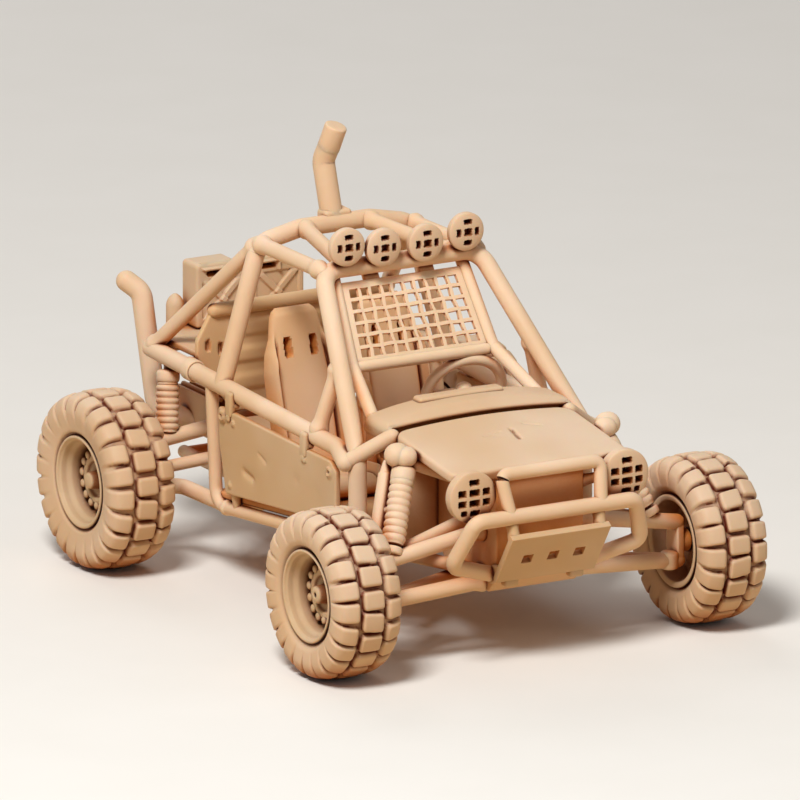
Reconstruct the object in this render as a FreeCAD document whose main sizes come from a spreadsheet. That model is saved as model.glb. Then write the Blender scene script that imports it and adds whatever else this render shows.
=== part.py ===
import FreeCAD, Part
import Sketcher
import math
import os
from FreeCAD import Placement, Rotation, Vector

# Dune buggy, a resin display model at about 1:35, in millimetres.
# +X is the vehicle's left, -Y its front, +Z up, and the ground is z = 0.
# Lengths along the car are measured from the front axle, those called "ahead" or "behind" from
# the rear axle, and heights from the ground.

doc = FreeCAD.newDocument("DuneBuggy")
sheet = doc.addObject("Spreadsheet::Sheet", "Sizes")

SIZES = [
    # where the front axle stands, so that the origin is midway along the car
    ("front_axle_y", -35.25),
    ("wheelbase", 65.24),
    ("track_half", 29.3),
    # tyres and rims
    ("front_tyre_radius", 12.0),
    ("rear_tyre_radius", 12.74),
    ("tyre_half_width", 5.15),
    ("lug_count", 22),
    ("lug_height", 1.0),
    ("lug_length", 2.5),
    ("bead_half_width", 3.9),
    ("rim_seat_radius", 6.2),
    ("rim_lip_radius", 6.7),
    ("rim_lip_width", 0.6),
    ("rim_wall", 0.6),
    ("rim_disc_face", 1.0),
    ("rim_disc_thickness", 1.2),
    ("bolt_ring_radius", 3.3),
    ("bolt_radius", 0.55),
    ("bolt_count", 12),
    ("hub_radius", 2.0),
    ("hub_length", 2.7),
    ("cap_radius", 1.35),
    ("cap_height", 1.9),
    ("spindle_radius", 1.0),
    ("spindle_clearance", 0.05),
    ("end_clearance", 0.3),
    # tubes of the space frame
    ("main_tube", 1.3),
    ("brace_tube", 1.1),
    ("light_tube", 0.9),
    ("frame_bend", 3.0),
    ("frame_half_width", 18.1),
    ("rail_front_y", 13.0),
    ("rail_front_z", 26.7),
    ("rail_behind", 6.96),
    ("rail_rear_z", 28.6),
    ("hoop_ahead", 13.64),
    ("hoop_corner_half", 12.3),
    ("hoop_corner_z", 47.9),
    ("hoop_crown_half", 5.5),
    ("hoop_crown_z", 49.3),
    ("screen_corner_half", 12.5),
    ("screen_corner_y", 33.0),
    ("screen_corner_z", 48.2),
    ("roof_brace_rear_half", 5.0),
    ("roof_brace_front_half", 8.6),
    ("strut_y", 24.6),
    ("strut_top_z", 37.6),
    ("low_rear_ahead", 11.94),
    ("low_rear_z", 10.2),
    ("low_front_z", 14.3),
    ("nose_half", 7.0),
    ("nose_rail_y", -3.5),
    ("nose_rail_z", 12.6),
    # windscreen net
    ("net_top_half", 9.5),
    ("net_top_y", 32.8),
    ("net_top_z", 46.4),
    ("net_bottom_half", 12.0),
    ("net_bottom_y", 24.9),
    ("net_bottom_z", 35.9),
    ("net_foot_z", 30.6),
    ("net_thickness", 0.8),
    ("net_columns", 10),
    ("net_rows", 6),
    ("net_strand", 0.65),
    ("net_border", 1.3),
    # nose box, hood and cowl
    ("box_front_y", -6.5),
    ("box_floor_z", 10.0),
    ("hood_half", 14.2),
    ("hood_front_y", -7.2),
    ("hood_rear_y", 10.2),
    ("hood_front_z", 28.3),
    ("hood_rear_z", 30.6),
    ("hood_thickness", 1.5),
    ("hood_corner", 2.2),
    ("cowl_rear_y", 16.8),
    ("cowl_peak_z", 33.2),
    ("cowl_half", 14.4),
    # bumper, nudge bar and skid plate
    ("bumper_y", -10.9),
    ("bumper_z", 22.4),
    ("bumper_half", 12.7),
    ("bumper_low_half", 15.2),
    ("bumper_low_y", -8.2),
    ("bumper_low_z", 15.7),
    ("bumper_tube", 1.15),
    ("nudge_half", 8.0),
    ("nudge_top_y", -9.3),
    ("nudge_top_z", 28.2),
    ("skid_top_y", -12.7),
    ("skid_top_z", 19.6),
    ("skid_low_y", -7.9),
    ("skid_low_z", 12.3),
    ("skid_half", 7.9),
    ("skid_thickness", 1.0),
    ("skid_window", 1.3),
    ("skid_window_pitch", 4.0),
    # lamps
    ("headlamp_radius", 3.3),
    ("headlamp_x", 12.3),
    ("headlamp_face_y", -9.6),
    ("headlamp_z", 25.4),
    ("roof_lamp_radius", 2.6),
    ("roof_lamp_outer_x", 9.8),
    ("roof_lamp_inner_x", 3.5),
    ("roof_lamp_outer_z", 51.4),
    ("roof_lamp_inner_z", 50.7),
    ("roof_lamp_face_y", 30.3),
    ("lamp_slot", 0.75),
    # side armour
    ("panel_x", 19.7),
    ("panel_thickness", 0.9),
    ("panel_front_y", 16.5),
    ("panel_rear_ahead", 14.44),
    ("panel_top_z", 25.1),
    ("panel_front_low_z", 16.4),
    ("panel_rear_low_z", 13.3),
    ("strap_width", 1.7),
    # cabin
    ("floor_thickness", 1.0),
    ("seat_x", 7.4),
    ("seat_width", 11.4),
    ("seat_back_ahead", 19.84),
    ("seat_back_height", 25.8),
    ("seat_recline", 10.0),
    ("seat_depth", 12.5),
    ("seat_cushion", 3.2),
    ("seat_bolster", 1.6),
    ("seat_shell", 1.2),
    ("steering_x", 7.5),
    ("steering_y", 28.9),
    ("steering_z", 29.1),
    ("steering_radius", 5.7),
    ("steering_rim", 0.55),
    ("steering_tilt", 25.0),
    ("lever_ahead", 23.64),
    ("lever_height", 15.2),
    # front suspension
    ("knuckle_inset", 3.5),
    ("arm_tube", 1.1),
    ("front_arm_y", -2.6),
    ("front_arm_outer_y", -0.8),
    ("front_upper_outer_z", 15.0),
    ("front_upper_inner_z", 18.7),
    ("front_lower_outer_z", 9.5),
    ("front_lower_inner_z", 11.3),
    ("front_arm_spread", 5.4),
    ("shock_radius", 1.75),
    ("shock_rod", 0.8),
    ("front_shock_top_x", 16.4),
    ("front_shock_top_y", 4.1),
    ("front_shock_top_z", 28.6),
    ("front_shock_foot_inset", 6.0),
    # rear suspension
    ("rear_upper_outer_z", 16.6),
    ("rear_upper_inner_z", 19.0),
    ("rear_shock_foot_inset", 6.4),
    ("half_shaft", 0.9),
    # engine, gearbox and exhausts
    ("engine_half", 10.6),
    ("engine_behind", 3.16),
    ("engine_length", 11.6),
    ("engine_low_z", 12.6),
    ("engine_top_z", 27.0),
    ("gearbox_half", 4.2),
    ("gearbox_ahead", 6.84),
    ("cradle_half", 8.6),
    ("exhaust_radius", 1.48),
    ("exhaust_x", 15.4),
    ("exhaust_bend_behind", 14.66),
    ("exhaust_bend_z", 34.6),
    ("stack_radius", 1.5),
    ("stack_kink_ahead", 10.24),
    ("stack_kink_z", 57.6),
    ("stack_tip_z", 62.9),
    # rear bulkhead, deck and cargo
    ("bulkhead_ahead", 4.24),
    ("bulkhead_half", 17.0),
    ("bulkhead_wall", 0.9),
    ("bulkhead_top_half", 14.5),
    ("bulkhead_top_z", 36.2),
    ("bulkhead_roll", 0.85),
    ("deck_half", 16.5),
    ("deck_behind", 12.36),
    ("deck_thickness", 1.0),
    ("deck_corner", 3.6),
    ("can_width", 8.6),
    ("can_depth", 4.6),
    ("can_height", 9.4),
    ("can_grip", 1.5),
    ("can_right_x", -6.2),
    ("cans_behind", 9.56),
    ("can_left_x", 2.6),
    ("canister_radius", 1.3),
    ("canister_x", -12.2),
    ("canister_behind", 10.7),
    ("canister_height", 4.8),
]

for row, (alias, value) in enumerate(SIZES, start=1):
    sheet.set(f"A{row}", alias.replace("_", " "))
    sheet.set(f"B{row}", str(value))
    sheet.setAlias(f"B{row}", alias)
doc.recompute()

S = {alias: float(sheet.get(alias)) for alias, value in SIZES}
REAR_AXLE = S["wheelbase"]
RAIL_REAR_Y = REAR_AXLE + S["rail_behind"]
HOOP_Y = REAR_AXLE - S["hoop_ahead"]
LOW_REAR_Y = REAR_AXLE - S["low_rear_ahead"]
BULKHEAD_Y = REAR_AXLE - S["bulkhead_ahead"]
ARM_OUTER_X = S["track_half"] - S["knuckle_inset"]
FROM_REAR = "front_axle_y + wheelbase"
PARTS = []


def at(x, y, z):
    """A point whose y is measured from the front axle."""
    return Vector(x, y + S["front_axle_y"], z)


def mirrored(point):
    return Vector(-point.x, point.y, point.z)


def keep(label, shape):
    """Puts a shape worked out with Part's functions into the document."""
    feature = doc.addObject("Part::Feature", label)
    feature.Label = label
    feature.Shape = shape
    PARTS.append(feature)
    return feature


def rod(start, end, radius):
    axis = end - start
    return Part.makeCylinder(radius, axis.Length, start, axis)


def largest(shape):
    """The main solid that is left after a tube's end is coped."""
    return max(shape.Solids, key=lambda solid: solid.Volume)


def coped(shape, *others):
    """Cuts a tube or plate to the faces of the pieces that it meets."""
    for other in others:
        shape = shape.cut(other)
    return largest(shape)


def bent_tube(points, radius, bend):
    """A round tube along straight runs that are joined by tangent arcs."""
    edges = []
    start = points[0]
    for before, corner, after in zip(points, points[1:], points[2:]):
        into = (before - corner).normalize()
        out = (after - corner).normalize()
        half = math.acos(max(-1.0, min(1.0, into.dot(out)))) / 2
        reach = bend / math.tan(half)
        first = corner + into * reach
        last = corner + out * reach
        centre = corner + (into + out).normalize() * (bend / math.sin(half))
        middle = centre + (corner - centre).normalize() * bend
        edges.append(Part.LineSegment(start, first).toShape())
        edges.append(Part.Arc(first, middle, last).toShape())
        start = last
    edges.append(Part.LineSegment(start, points[-1]).toShape())
    path = Part.Wire(edges)
    ring = Part.Wire(Part.Circle(points[0], points[1] - points[0], radius).toShape())
    return path.makePipeShell([ring], True, True)


def flipped(shape):
    """The mirror image of a shape on the other side of the car."""
    return shape.mirror(Vector(0, 0, 0), Vector(1, 0, 0))


def pair(*shapes):
    return Part.makeCompound([item for shape in shapes for item in shape.Solids])


def prism(outline, direction):
    """A flat outline, given as points, pushed along a direction."""
    face = Part.Face(Part.makePolygon(list(outline) + [outline[0]]))
    return face.extrude(direction)


def box_between(low, high):
    size = high - low
    return Part.makeBox(size.x, size.y, size.z, low)


def number(formula):
    """The value of a formula written in the sheet's words."""
    if isinstance(formula, (int, float)):
        return float(formula)
    return float(sheet.evalExpression(formula))


def words(formula):
    """A formula in the sheet's words, as an expression of the document."""
    text = str(formula)
    for alias in sorted(S, key=len, reverse=True):
        text = text.replace(alias, "\0" + str(list(S).index(alias)) + "\1")
    for index, alias in enumerate(S):
        text = text.replace("\0" + str(index) + "\1", "Sizes." + alias)
    return text


def value(formula):
    return number(words(formula))


def new_body(label):
    body = doc.addObject("PartDesign::Body", label)
    body.Label = label
    PARTS.append(body)
    return body


def origin_plane(body, role):
    return next(item for item in body.Origin.OriginFeatures if item.Role == role)


def outline_sketch(body, name, role, points):
    """A closed outline whose corners are bound to the sheet, each as (across, up)."""
    sketch = body.newObject("Sketcher::SketchObject", name)
    sketch.AttachmentSupport = (origin_plane(body, role), [""])
    sketch.MapMode = "FlatFace"
    corners = [Vector(value(across), value(up), 0) for across, up in points]
    count = len(corners)
    for index in range(count):
        line = Part.LineSegment(corners[index], corners[(index + 1) % count])
        sketch.addGeometry(line, False)
    for index in range(count):
        follower = (index + 1) % count
        sketch.addConstraint(Sketcher.Constraint("Coincident", index, 2, follower, 1))
    for index, (across, up) in enumerate(points):
        for kind, formula in (("DistanceX", across), ("DistanceY", up)):
            place = sketch.addConstraint(
                Sketcher.Constraint(kind, -1, 1, index, 1, value(formula)))
            sketch.setExpression(f"Constraints[{place}]", words(formula))
    return sketch


def circle_sketch(body, name, role, across, up, radius):
    sketch = body.newObject("Sketcher::SketchObject", name)
    sketch.AttachmentSupport = (origin_plane(body, role), [""])
    sketch.MapMode = "FlatFace"
    centre = Vector(value(across), value(up), 0)
    sketch.addGeometry(Part.Circle(centre, Vector(0, 0, 1), value(radius)), False)
    formulas = (("DistanceX", across), ("DistanceY", up))
    for kind, formula in formulas:
        place = sketch.addConstraint(Sketcher.Constraint(kind, -1, 1, 0, 3, value(formula)))
        sketch.setExpression(f"Constraints[{place}]", words(formula))
    place = sketch.addConstraint(Sketcher.Constraint("Radius", 0, value(radius)))
    sketch.setExpression(f"Constraints[{place}]", words(radius))
    return sketch


def lifted(sketch, height):
    """Moves a sketch along its plane's normal."""
    sketch.AttachmentOffset = Placement(Vector(0, 0, value(height)), Rotation())
    sketch.setExpression("AttachmentOffset.Base.z", words(height))


def pad(body, name, sketch, length, both_ways=False, back=False):
    feature = body.newObject("PartDesign::Pad", name)
    feature.Profile = sketch
    feature.Length = value(length)
    feature.setExpression("Length", words(length))
    feature.Midplane = both_ways
    feature.Reversed = back
    doc.recompute()
    return feature


def pocket(body, name, sketch, length=None, both_ways=False, back=False):
    feature = body.newObject("PartDesign::Pocket", name)
    feature.Profile = sketch
    if length is None:
        feature.Type = "ThroughAll"
    else:
        feature.Length = value(length)
        feature.setExpression("Length", words(length))
    feature.Midplane = both_ways
    feature.Reversed = back
    doc.recompute()
    return feature


def turned(body, name, sketch):
    """Turns an outline once round the sketch's upright axis."""
    feature = body.newObject("PartDesign::Revolution", name)
    feature.Profile = sketch
    feature.ReferenceAxis = (sketch, ["V_Axis"])
    feature.Angle = 360.0
    doc.recompute()
    return feature


def place(item, x, y, z, rotation=None):
    """Places a sub-part by formulas in the sheet's words."""
    item.Placement = Placement(Vector(value(x), value(y), value(z)), rotation or Rotation())
    item.setExpression("Placement.Base.x", words(x))
    item.setExpression("Placement.Base.y", words(y))
    item.setExpression("Placement.Base.z", words(z))


# The space frame

HALF = S["frame_half_width"]
RAIL_RISE = (S["rail_rear_z"] - S["rail_front_z"]) / (RAIL_REAR_Y - S["rail_front_y"])
LOW_RISE = (S["low_front_z"] - S["low_rear_z"]) / (LOW_REAR_Y - S["rail_front_y"])


def rail_z(y):
    """Height of the side rail's axis."""
    return S["rail_front_z"] + RAIL_RISE * (y - S["rail_front_y"])


def low_z(y):
    """Height of the lower rail's axis."""
    return S["low_front_z"] - LOW_RISE * (y - S["rail_front_y"])


def screen_point(z):
    """A point on the windscreen pillar's axis, on the vehicle's left."""
    share = (z - S["rail_front_z"]) / (S["screen_corner_z"] - S["rail_front_z"])
    x = HALF + share * (S["screen_corner_half"] - HALF)
    y = S["rail_front_y"] + share * (S["screen_corner_y"] - S["rail_front_y"])
    return at(x, y, z)


def make_frame(box, cowl):
    """Makes the frame's tubes, each coped to the pieces that it meets."""
    main = S["main_tube"]
    brace = S["brace_tube"]
    bend = S["frame_bend"]
    foot = at(HALF, S["rail_front_y"], S["rail_front_z"])
    corner = at(S["screen_corner_half"], S["screen_corner_y"], S["screen_corner_z"])
    rail_rear = at(HALF, RAIL_REAR_Y, S["rail_rear_z"])
    low_front = at(HALF, S["rail_front_y"], S["low_front_z"])
    low_rear = at(HALF, LOW_REAR_Y, S["low_rear_z"])
    nose = at(S["nose_half"] - 1.0, S["nose_rail_y"] - 1.4, S["nose_rail_z"])
    post_top = at(HALF, LOW_REAR_Y + 1.5, rail_z(LOW_REAR_Y + 1.5))
    hoop_foot = at(HALF, HOOP_Y, rail_z(HOOP_Y))
    hoop_corner = at(S["hoop_corner_half"], HOOP_Y, S["hoop_corner_z"])
    crown = at(S["hoop_crown_half"], HOOP_Y, S["hoop_crown_z"])

    screen_left = [low_front, foot, corner]
    screen_run = screen_left + [mirrored(point) for point in reversed(screen_left)]
    screen = bent_tube(screen_run, main, bend)
    rail = rod(foot, rail_rear, main).fuse(Part.makeSphere(main, rail_rear))
    rail = coped(rail.removeSplitter(), screen)
    rails = [rail, flipped(rail)]

    hoop_left = [hoop_foot, hoop_corner, crown]
    hoop_run = hoop_left + [mirrored(point) for point in reversed(hoop_left)]
    hoop = coped(bent_tube(hoop_run, main, bend), *rails)

    side = bent_tube([post_top, low_rear, low_front, nose], brace, bend * 0.85)
    side = coped(side, rails[0], box)
    screen = coped(screen, side, flipped(side))

    roof = coped(rod(hoop_corner, corner, brace), hoop, screen)
    roof_brace = rod(at(S["roof_brace_rear_half"], HOOP_Y, S["hoop_crown_z"]),
                     at(S["roof_brace_front_half"], S["screen_corner_y"], S["screen_corner_z"]),
                     brace)
    roof_brace = coped(roof_brace, hoop, screen)
    strut_top = screen_point(S["strut_top_z"])
    strut = rod(strut_top, at(HALF, S["strut_y"], rail_z(S["strut_y"])), brace)
    strut = coped(strut, screen, rails[0])
    dash_end = at(S["cowl_half"] - 0.6, S["hood_rear_y"] + 1.0, S["hood_rear_z"] - 1.4)
    dash = coped(rod(at(HALF, S["rail_front_y"] + 0.4, S["rail_front_z"] - 0.9),
                     dash_end, brace), screen, rails[0], cowl)
    stay = coped(rod(hoop_corner, rail_rear, brace), hoop, rails[0])

    cross_rear = rod(mirrored(rail_rear), rail_rear, S["light_tube"])
    cross_rear = coped(cross_rear, *rails).cut(pair(stay, flipped(stay)))
    cross_rear = largest(cross_rear)
    cross_y = BULKHEAD_Y + S["bulkhead_wall"] + S["light_tube"] - 0.05
    cross_middle = rod(at(-HALF, cross_y, rail_z(cross_y)), at(HALF, cross_y, rail_z(cross_y)),
                       S["light_tube"])
    cross_middle = coped(cross_middle, *rails, side, flipped(side))
    sides = [side, flipped(side)]
    low_y = LOW_REAR_Y - bend
    cross_low = coped(rod(at(-HALF, low_y, low_z(low_y)), at(HALF, low_y, low_z(low_y)),
                          brace), *sides)
    front_y = S["rail_front_y"] + bend
    cross_front = coped(rod(at(-HALF, front_y, low_z(front_y)), at(HALF, front_y, low_z(front_y)),
                            brace), *sides)
    struts = pair(strut, flipped(strut), dash, flipped(dash))
    keep("side_rail_left", rails[0])
    keep("side_rail_right", rails[1])
    keep("windscreen_hoop", screen)
    keep("main_hoop", hoop)
    keep("side_hoop_left", sides[0])
    keep("side_hoop_right", sides[1])
    keep("roof_tubes", pair(roof, flipped(roof), roof_brace, flipped(roof_brace)))
    keep("windscreen_struts", struts)
    keep("rear_stays", pair(stay, flipped(stay)))
    keep("upper_cross_tubes", pair(cross_rear, cross_middle))
    keep("lower_cross_tubes", pair(cross_low, cross_front))
    return {"screen": screen, "rails": rails, "sides": sides, "hoop": hoop,
            "stays": [stay, flipped(stay)], "lower": pair(cross_low, cross_front),
            "struts": struts,
            "upper": pair(cross_rear, cross_middle)}


# Wheels: each turns on the spindle of its knuckle

LUGS = int(S["lug_count"])
PITCH = 2 * math.pi / LUGS


def tyre_sections(radius):
    """Half outlines across the tread, as (distance from the middle, radius)."""
    wide = S["tyre_half_width"]
    base = radius - S["lug_height"]
    bead = S["bead_half_width"]
    carcass = [
        (bead, S["rim_seat_radius"]),
        (bead, S["rim_lip_radius"] + 0.5),
        (wide - 0.35, S["rim_lip_radius"] + 2.0),
        (wide - 0.3, base - 1.4),
        (wide - 1.4, base - 0.1),
    ]
    shoulder = [
        (1.75, base - 0.4),
        (1.75, radius - 0.1),
        (wide - 1.0, radius - 0.45),
        (wide, radius - 1.9),
        (wide + 0.02, radius - 3.3),
        (wide - 0.8, radius - 3.9),
    ]
    centre = [(-1.35, base - 0.4), (-1.35, radius), (1.35, radius), (1.35, base - 0.4)]
    return carcass, shoulder, centre


def make_tyre(radius):
    """A tyre with its axle along Z: flat facets, one for each lug, and raised lugs."""
    carcass, shoulder, centre = tyre_sections(radius)
    loop = carcass + [(-across, high) for across, high in reversed(carcass)]
    squared = math.cos(PITCH / 2)

    def ring_point(across, high, turn):
        reach = high / squared
        return Vector(reach * math.cos(turn), reach * math.sin(turn), across)

    faces = []
    for step in range(LUGS):
        first = (step - 0.5) * PITCH
        last = (step + 0.5) * PITCH
        for (a, b), (c, d) in zip(loop, loop[1:] + loop[:1]):
            corners = [ring_point(a, b, first), ring_point(c, d, first),
                       ring_point(c, d, last), ring_point(a, b, last)]
            faces.append(Part.Face(Part.makePolygon(corners + [corners[0]])))
    body = Part.makeSolid(Part.makeShell(faces))
    if body.Volume < 0:
        body.reverse()

    def lug(section, length, turn):
        outline = [Vector(high, -length / 2, across) for across, high in section]
        block = prism(outline, Vector(0, length, 0))
        block.rotate(Vector(0, 0, 0), Vector(0, 0, 1), math.degrees(turn))
        return block

    length = S["lug_length"] * radius / S["front_tyre_radius"]
    inner = [(-across, high) for across, high in shoulder]
    lugs = []
    for step in range(LUGS):
        lugs.append(lug(shoulder, length, step * PITCH))
        lugs.append(lug(inner, length, step * PITCH))
        lugs.append(lug(centre, length, (step + 0.5) * PITCH))
    return largest(body.multiFuse(lugs).removeSplitter())


def make_rim(label):
    """A deep-dished rim, turned about Z with its outer face upwards."""
    body = new_body(label)
    seat = "rim_seat_radius"
    lip = "bead_half_width + rim_lip_width"
    inside = "(rim_seat_radius - rim_wall)"
    disc = "(rim_disc_face - rim_disc_thickness)"
    profile = [
        ("0", "rim_disc_face + cap_height"),
        ("cap_radius", "rim_disc_face + cap_height - 0.5"),
        ("cap_radius", "rim_disc_face + 0.9"),
        ("bolt_ring_radius", "rim_disc_face + 0.9"),
        ("bolt_ring_radius", "rim_disc_face"),
        (f"{inside} - 0.6", "rim_disc_face"),
        (inside, "rim_disc_face + 1.2"),
        ("rim_lip_radius - 0.7", lip),
        ("rim_lip_radius", lip),
        ("rim_lip_radius", "bead_half_width"),
        (seat, "bead_half_width"),
        (seat, "-bead_half_width"),
        ("rim_lip_radius", "-bead_half_width"),
        ("rim_lip_radius", f"-({lip})"),
        (inside, f"-({lip})"),
        (inside, disc),
        ("hub_radius", disc),
        ("hub_radius", f"{disc} - hub_length + rim_disc_thickness"),
        ("spindle_radius + spindle_clearance",
         f"{disc} - hub_length + rim_disc_thickness"),
        ("spindle_radius + spindle_clearance", "rim_disc_face - 0.2"),
        ("0", "rim_disc_face - 0.2"),
    ]
    sketch = outline_sketch(body, label + "_profile", "XZ_Plane", profile)
    turned(body, label + "_turned", sketch)
    bolt = circle_sketch(body, label + "_bolt", "XY_Plane",
                         "bolt_ring_radius", "0", "bolt_radius")
    lifted(bolt, "rim_disc_face - 0.1")
    stud = pad(body, label + "_stud", bolt, "1.2")
    ring = body.newObject("PartDesign::PolarPattern", label + "_studs")
    ring.Originals = [stud]
    ring.Axis = (bolt, ["N_Axis"])
    ring.Angle = 360.0
    ring.Occurrences = int(S["bolt_count"])
    ring.setExpression("Occurrences", "Sizes.bolt_count")
    body.Tip = ring
    doc.recompute()
    return body


OUTWARD_LEFT = Rotation(Vector(0, 0, 1), Vector(1, 0, 0))
OUTWARD_RIGHT = Rotation(Vector(0, 0, 1), Vector(-1, 0, 0))


def lug_down(rotation):
    """Turns a wheel on its axle so that a middle lug lies flat on the ground."""
    lowest = rotation.inverted().multVec(Vector(0, 0, -1))
    angle = math.atan2(lowest.y, lowest.x)
    share = angle / PITCH - 0.5
    turn = (share - round(share)) * PITCH
    return rotation.multiply(Rotation(Vector(0, 0, 1), math.degrees(turn)))


def make_wheels():
    corners = (
        ("front_left", "track_half", "front_axle_y", "front_tyre_radius", OUTWARD_LEFT),
        ("front_right", "-track_half", "front_axle_y", "front_tyre_radius", OUTWARD_RIGHT),
        ("rear_left", "track_half", "front_axle_y + wheelbase", "rear_tyre_radius",
         OUTWARD_LEFT),
        ("rear_right", "-track_half", "front_axle_y + wheelbase", "rear_tyre_radius",
         OUTWARD_RIGHT),
    )
    tyres = {name: make_tyre(S[name]) for name in ("front_tyre_radius", "rear_tyre_radius")}
    for name, x, y, radius, rotation in corners:
        turned_wheel = lug_down(rotation)
        tyre = keep("tyre_" + name, tyres[radius])
        place(tyre, x, y, radius, turned_wheel)
        rim = make_rim("rim_" + name)
        place(rim, x, y, radius, turned_wheel)



# Nose: front box, hood, cowl, bumper, nudge bar, skid plate and lamps

HOOD_RISE = (S["hood_rear_z"] - S["hood_front_z"]) / (S["hood_rear_y"] - S["hood_front_y"])


def hood_z(y):
    """Height of the hood's top along its side edges."""
    return S["hood_front_z"] + HOOD_RISE * (y - S["hood_front_y"])


def make_front_box():
    """The closed footwell box, which carries the arms, with its top under the hood."""
    rise = "(hood_rear_z - hood_front_z) / (hood_rear_y - hood_front_y)"
    under_front = f"hood_front_z - hood_thickness + (box_front_y - hood_front_y) * {rise}"
    under_rear = "hood_rear_z - hood_thickness"
    body = new_body("front_box")
    outline = [
        ("front_axle_y + box_front_y", "box_floor_z + 2.4"),
        ("front_axle_y + box_front_y", under_front),
        ("front_axle_y + hood_rear_y", under_rear),
        ("front_axle_y + hood_rear_y", "box_floor_z + 3.6"),
        ("front_axle_y + 5.5", "box_floor_z"),
        ("front_axle_y + box_front_y + 2.2", "box_floor_z"),
    ]
    sketch = outline_sketch(body, "front_box_side", "YZ_Plane", outline)
    pad(body, "front_box_pad", sketch, "2 * nose_half", both_ways=True)
    return body


def arched(half, low, crest, edge, y):
    """A closed outline across the car with an arched top, at one distance along it."""
    corners = [at(-half, y, low), at(half, y, low), at(half, y, edge), at(-half, y, edge)]
    arch = Part.Arc(corners[2], at(0, y, crest), corners[3]).toShape()
    sides = [Part.LineSegment(corners[a], corners[b]).toShape() for a, b in ((0, 1), (1, 2))]
    last = Part.LineSegment(corners[3], corners[0]).toShape()
    return Part.Wire([sides[0], sides[1], arch, last])


def make_hood():
    half = S["hood_half"]
    sections = []
    for y, bulge in ((S["hood_front_y"], 0.25), (S["hood_rear_y"], 0.8)):
        top = hood_z(y)
        sections.append(arched(half, top - S["hood_thickness"], top + bulge, top, y))
    slab = Part.makeLoft(sections, True, True)
    radius = S["hood_corner"]
    front = S["hood_front_y"]
    deep = S["hood_rear_y"] + 1.0
    plan = [at(-half, deep, 0), at(-half, front + radius, 0), at(-half + radius, front, 0),
            at(half - radius, front, 0), at(half, front + radius, 0), at(half, deep, 0)]
    turn = radius * (1 - math.sqrt(0.5))
    left = Part.Arc(plan[1], at(-half + turn, front + turn, 0), plan[2]).toShape()
    right = Part.Arc(plan[3], at(half - turn, front + turn, 0), plan[4]).toShape()
    runs = [Part.LineSegment(plan[a], plan[b]).toShape() for a, b in ((0, 1), (2, 3), (4, 5), (5, 0))]
    edge = Part.Wire([runs[0], left, runs[1], right, runs[2], runs[3]])
    return largest(slab.common(Part.Face(edge).extrude(Vector(0, 0, S["cowl_peak_z"]))))


def make_cowl():
    """The arched dash cowl: a thin roof over the footwell with a wall at its front."""
    half = S["cowl_half"]
    wall = 1.2
    front = S["hood_rear_y"]
    seam = 0.3
    low = S["hood_rear_z"] - 4.0
    edge = S["hood_rear_z"] - 0.6
    peak = S["cowl_peak_z"]
    outer = Part.Face(arched(half, low, peak, edge, front)).extrude(
        Vector(0, S["cowl_rear_y"] - front, 0))
    inner = Part.Face(arched(half - wall, low - 1, peak - wall, edge - wall, front + wall)).extrude(
        Vector(0, S["cowl_rear_y"] - front, 0))
    shell = outer.cut(inner)
    slope = [at(-half - 1, front - 1, S["hood_rear_z"] + 0.1),
             at(-half - 1, front + 3.6, peak + 0.6),
             at(-half - 1, front - 1, peak + 2)]
    shell = shell.cut(prism(slope, Vector(2 * half + 2, 0, 0)))
    relief = box_between(at(-half - 1, front - 1, low - 1), at(half + 1, front + seam, peak + 1))
    return largest(shell.cut(relief).fuse(box_between(
        at(-S["nose_half"], front, low), at(S["nose_half"], front + wall,
                                             S["hood_rear_z"] - S["hood_thickness"])))
        .removeSplitter())


def make_bumper(box, hood):
    radius = S["bumper_tube"]
    root = at(S["nose_half"] - 0.5, S["bumper_low_y"] + 2.6, S["bumper_low_z"] - 2.9)
    low = at(S["bumper_low_half"], S["bumper_low_y"], S["bumper_low_z"])
    high = at(S["bumper_half"], S["bumper_y"], S["bumper_z"])
    run = [root, low, high]
    run += [mirrored(point) for point in reversed(run)]
    bumper = coped(bent_tube(run, radius, 1.6), box)
    keep("bumper", bumper)

    top = at(S["nudge_half"], S["nudge_top_y"], S["nudge_top_z"])
    foot = at(S["nudge_half"] - 0.8, S["bumper_y"], S["bumper_z"])
    bar = bent_tube([foot, top, mirrored(top), mirrored(foot)], 1.0, 1.2)
    bar = coped(bar, bumper, hood)
    keep("nudge_bar", bar)
    return bumper


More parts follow.
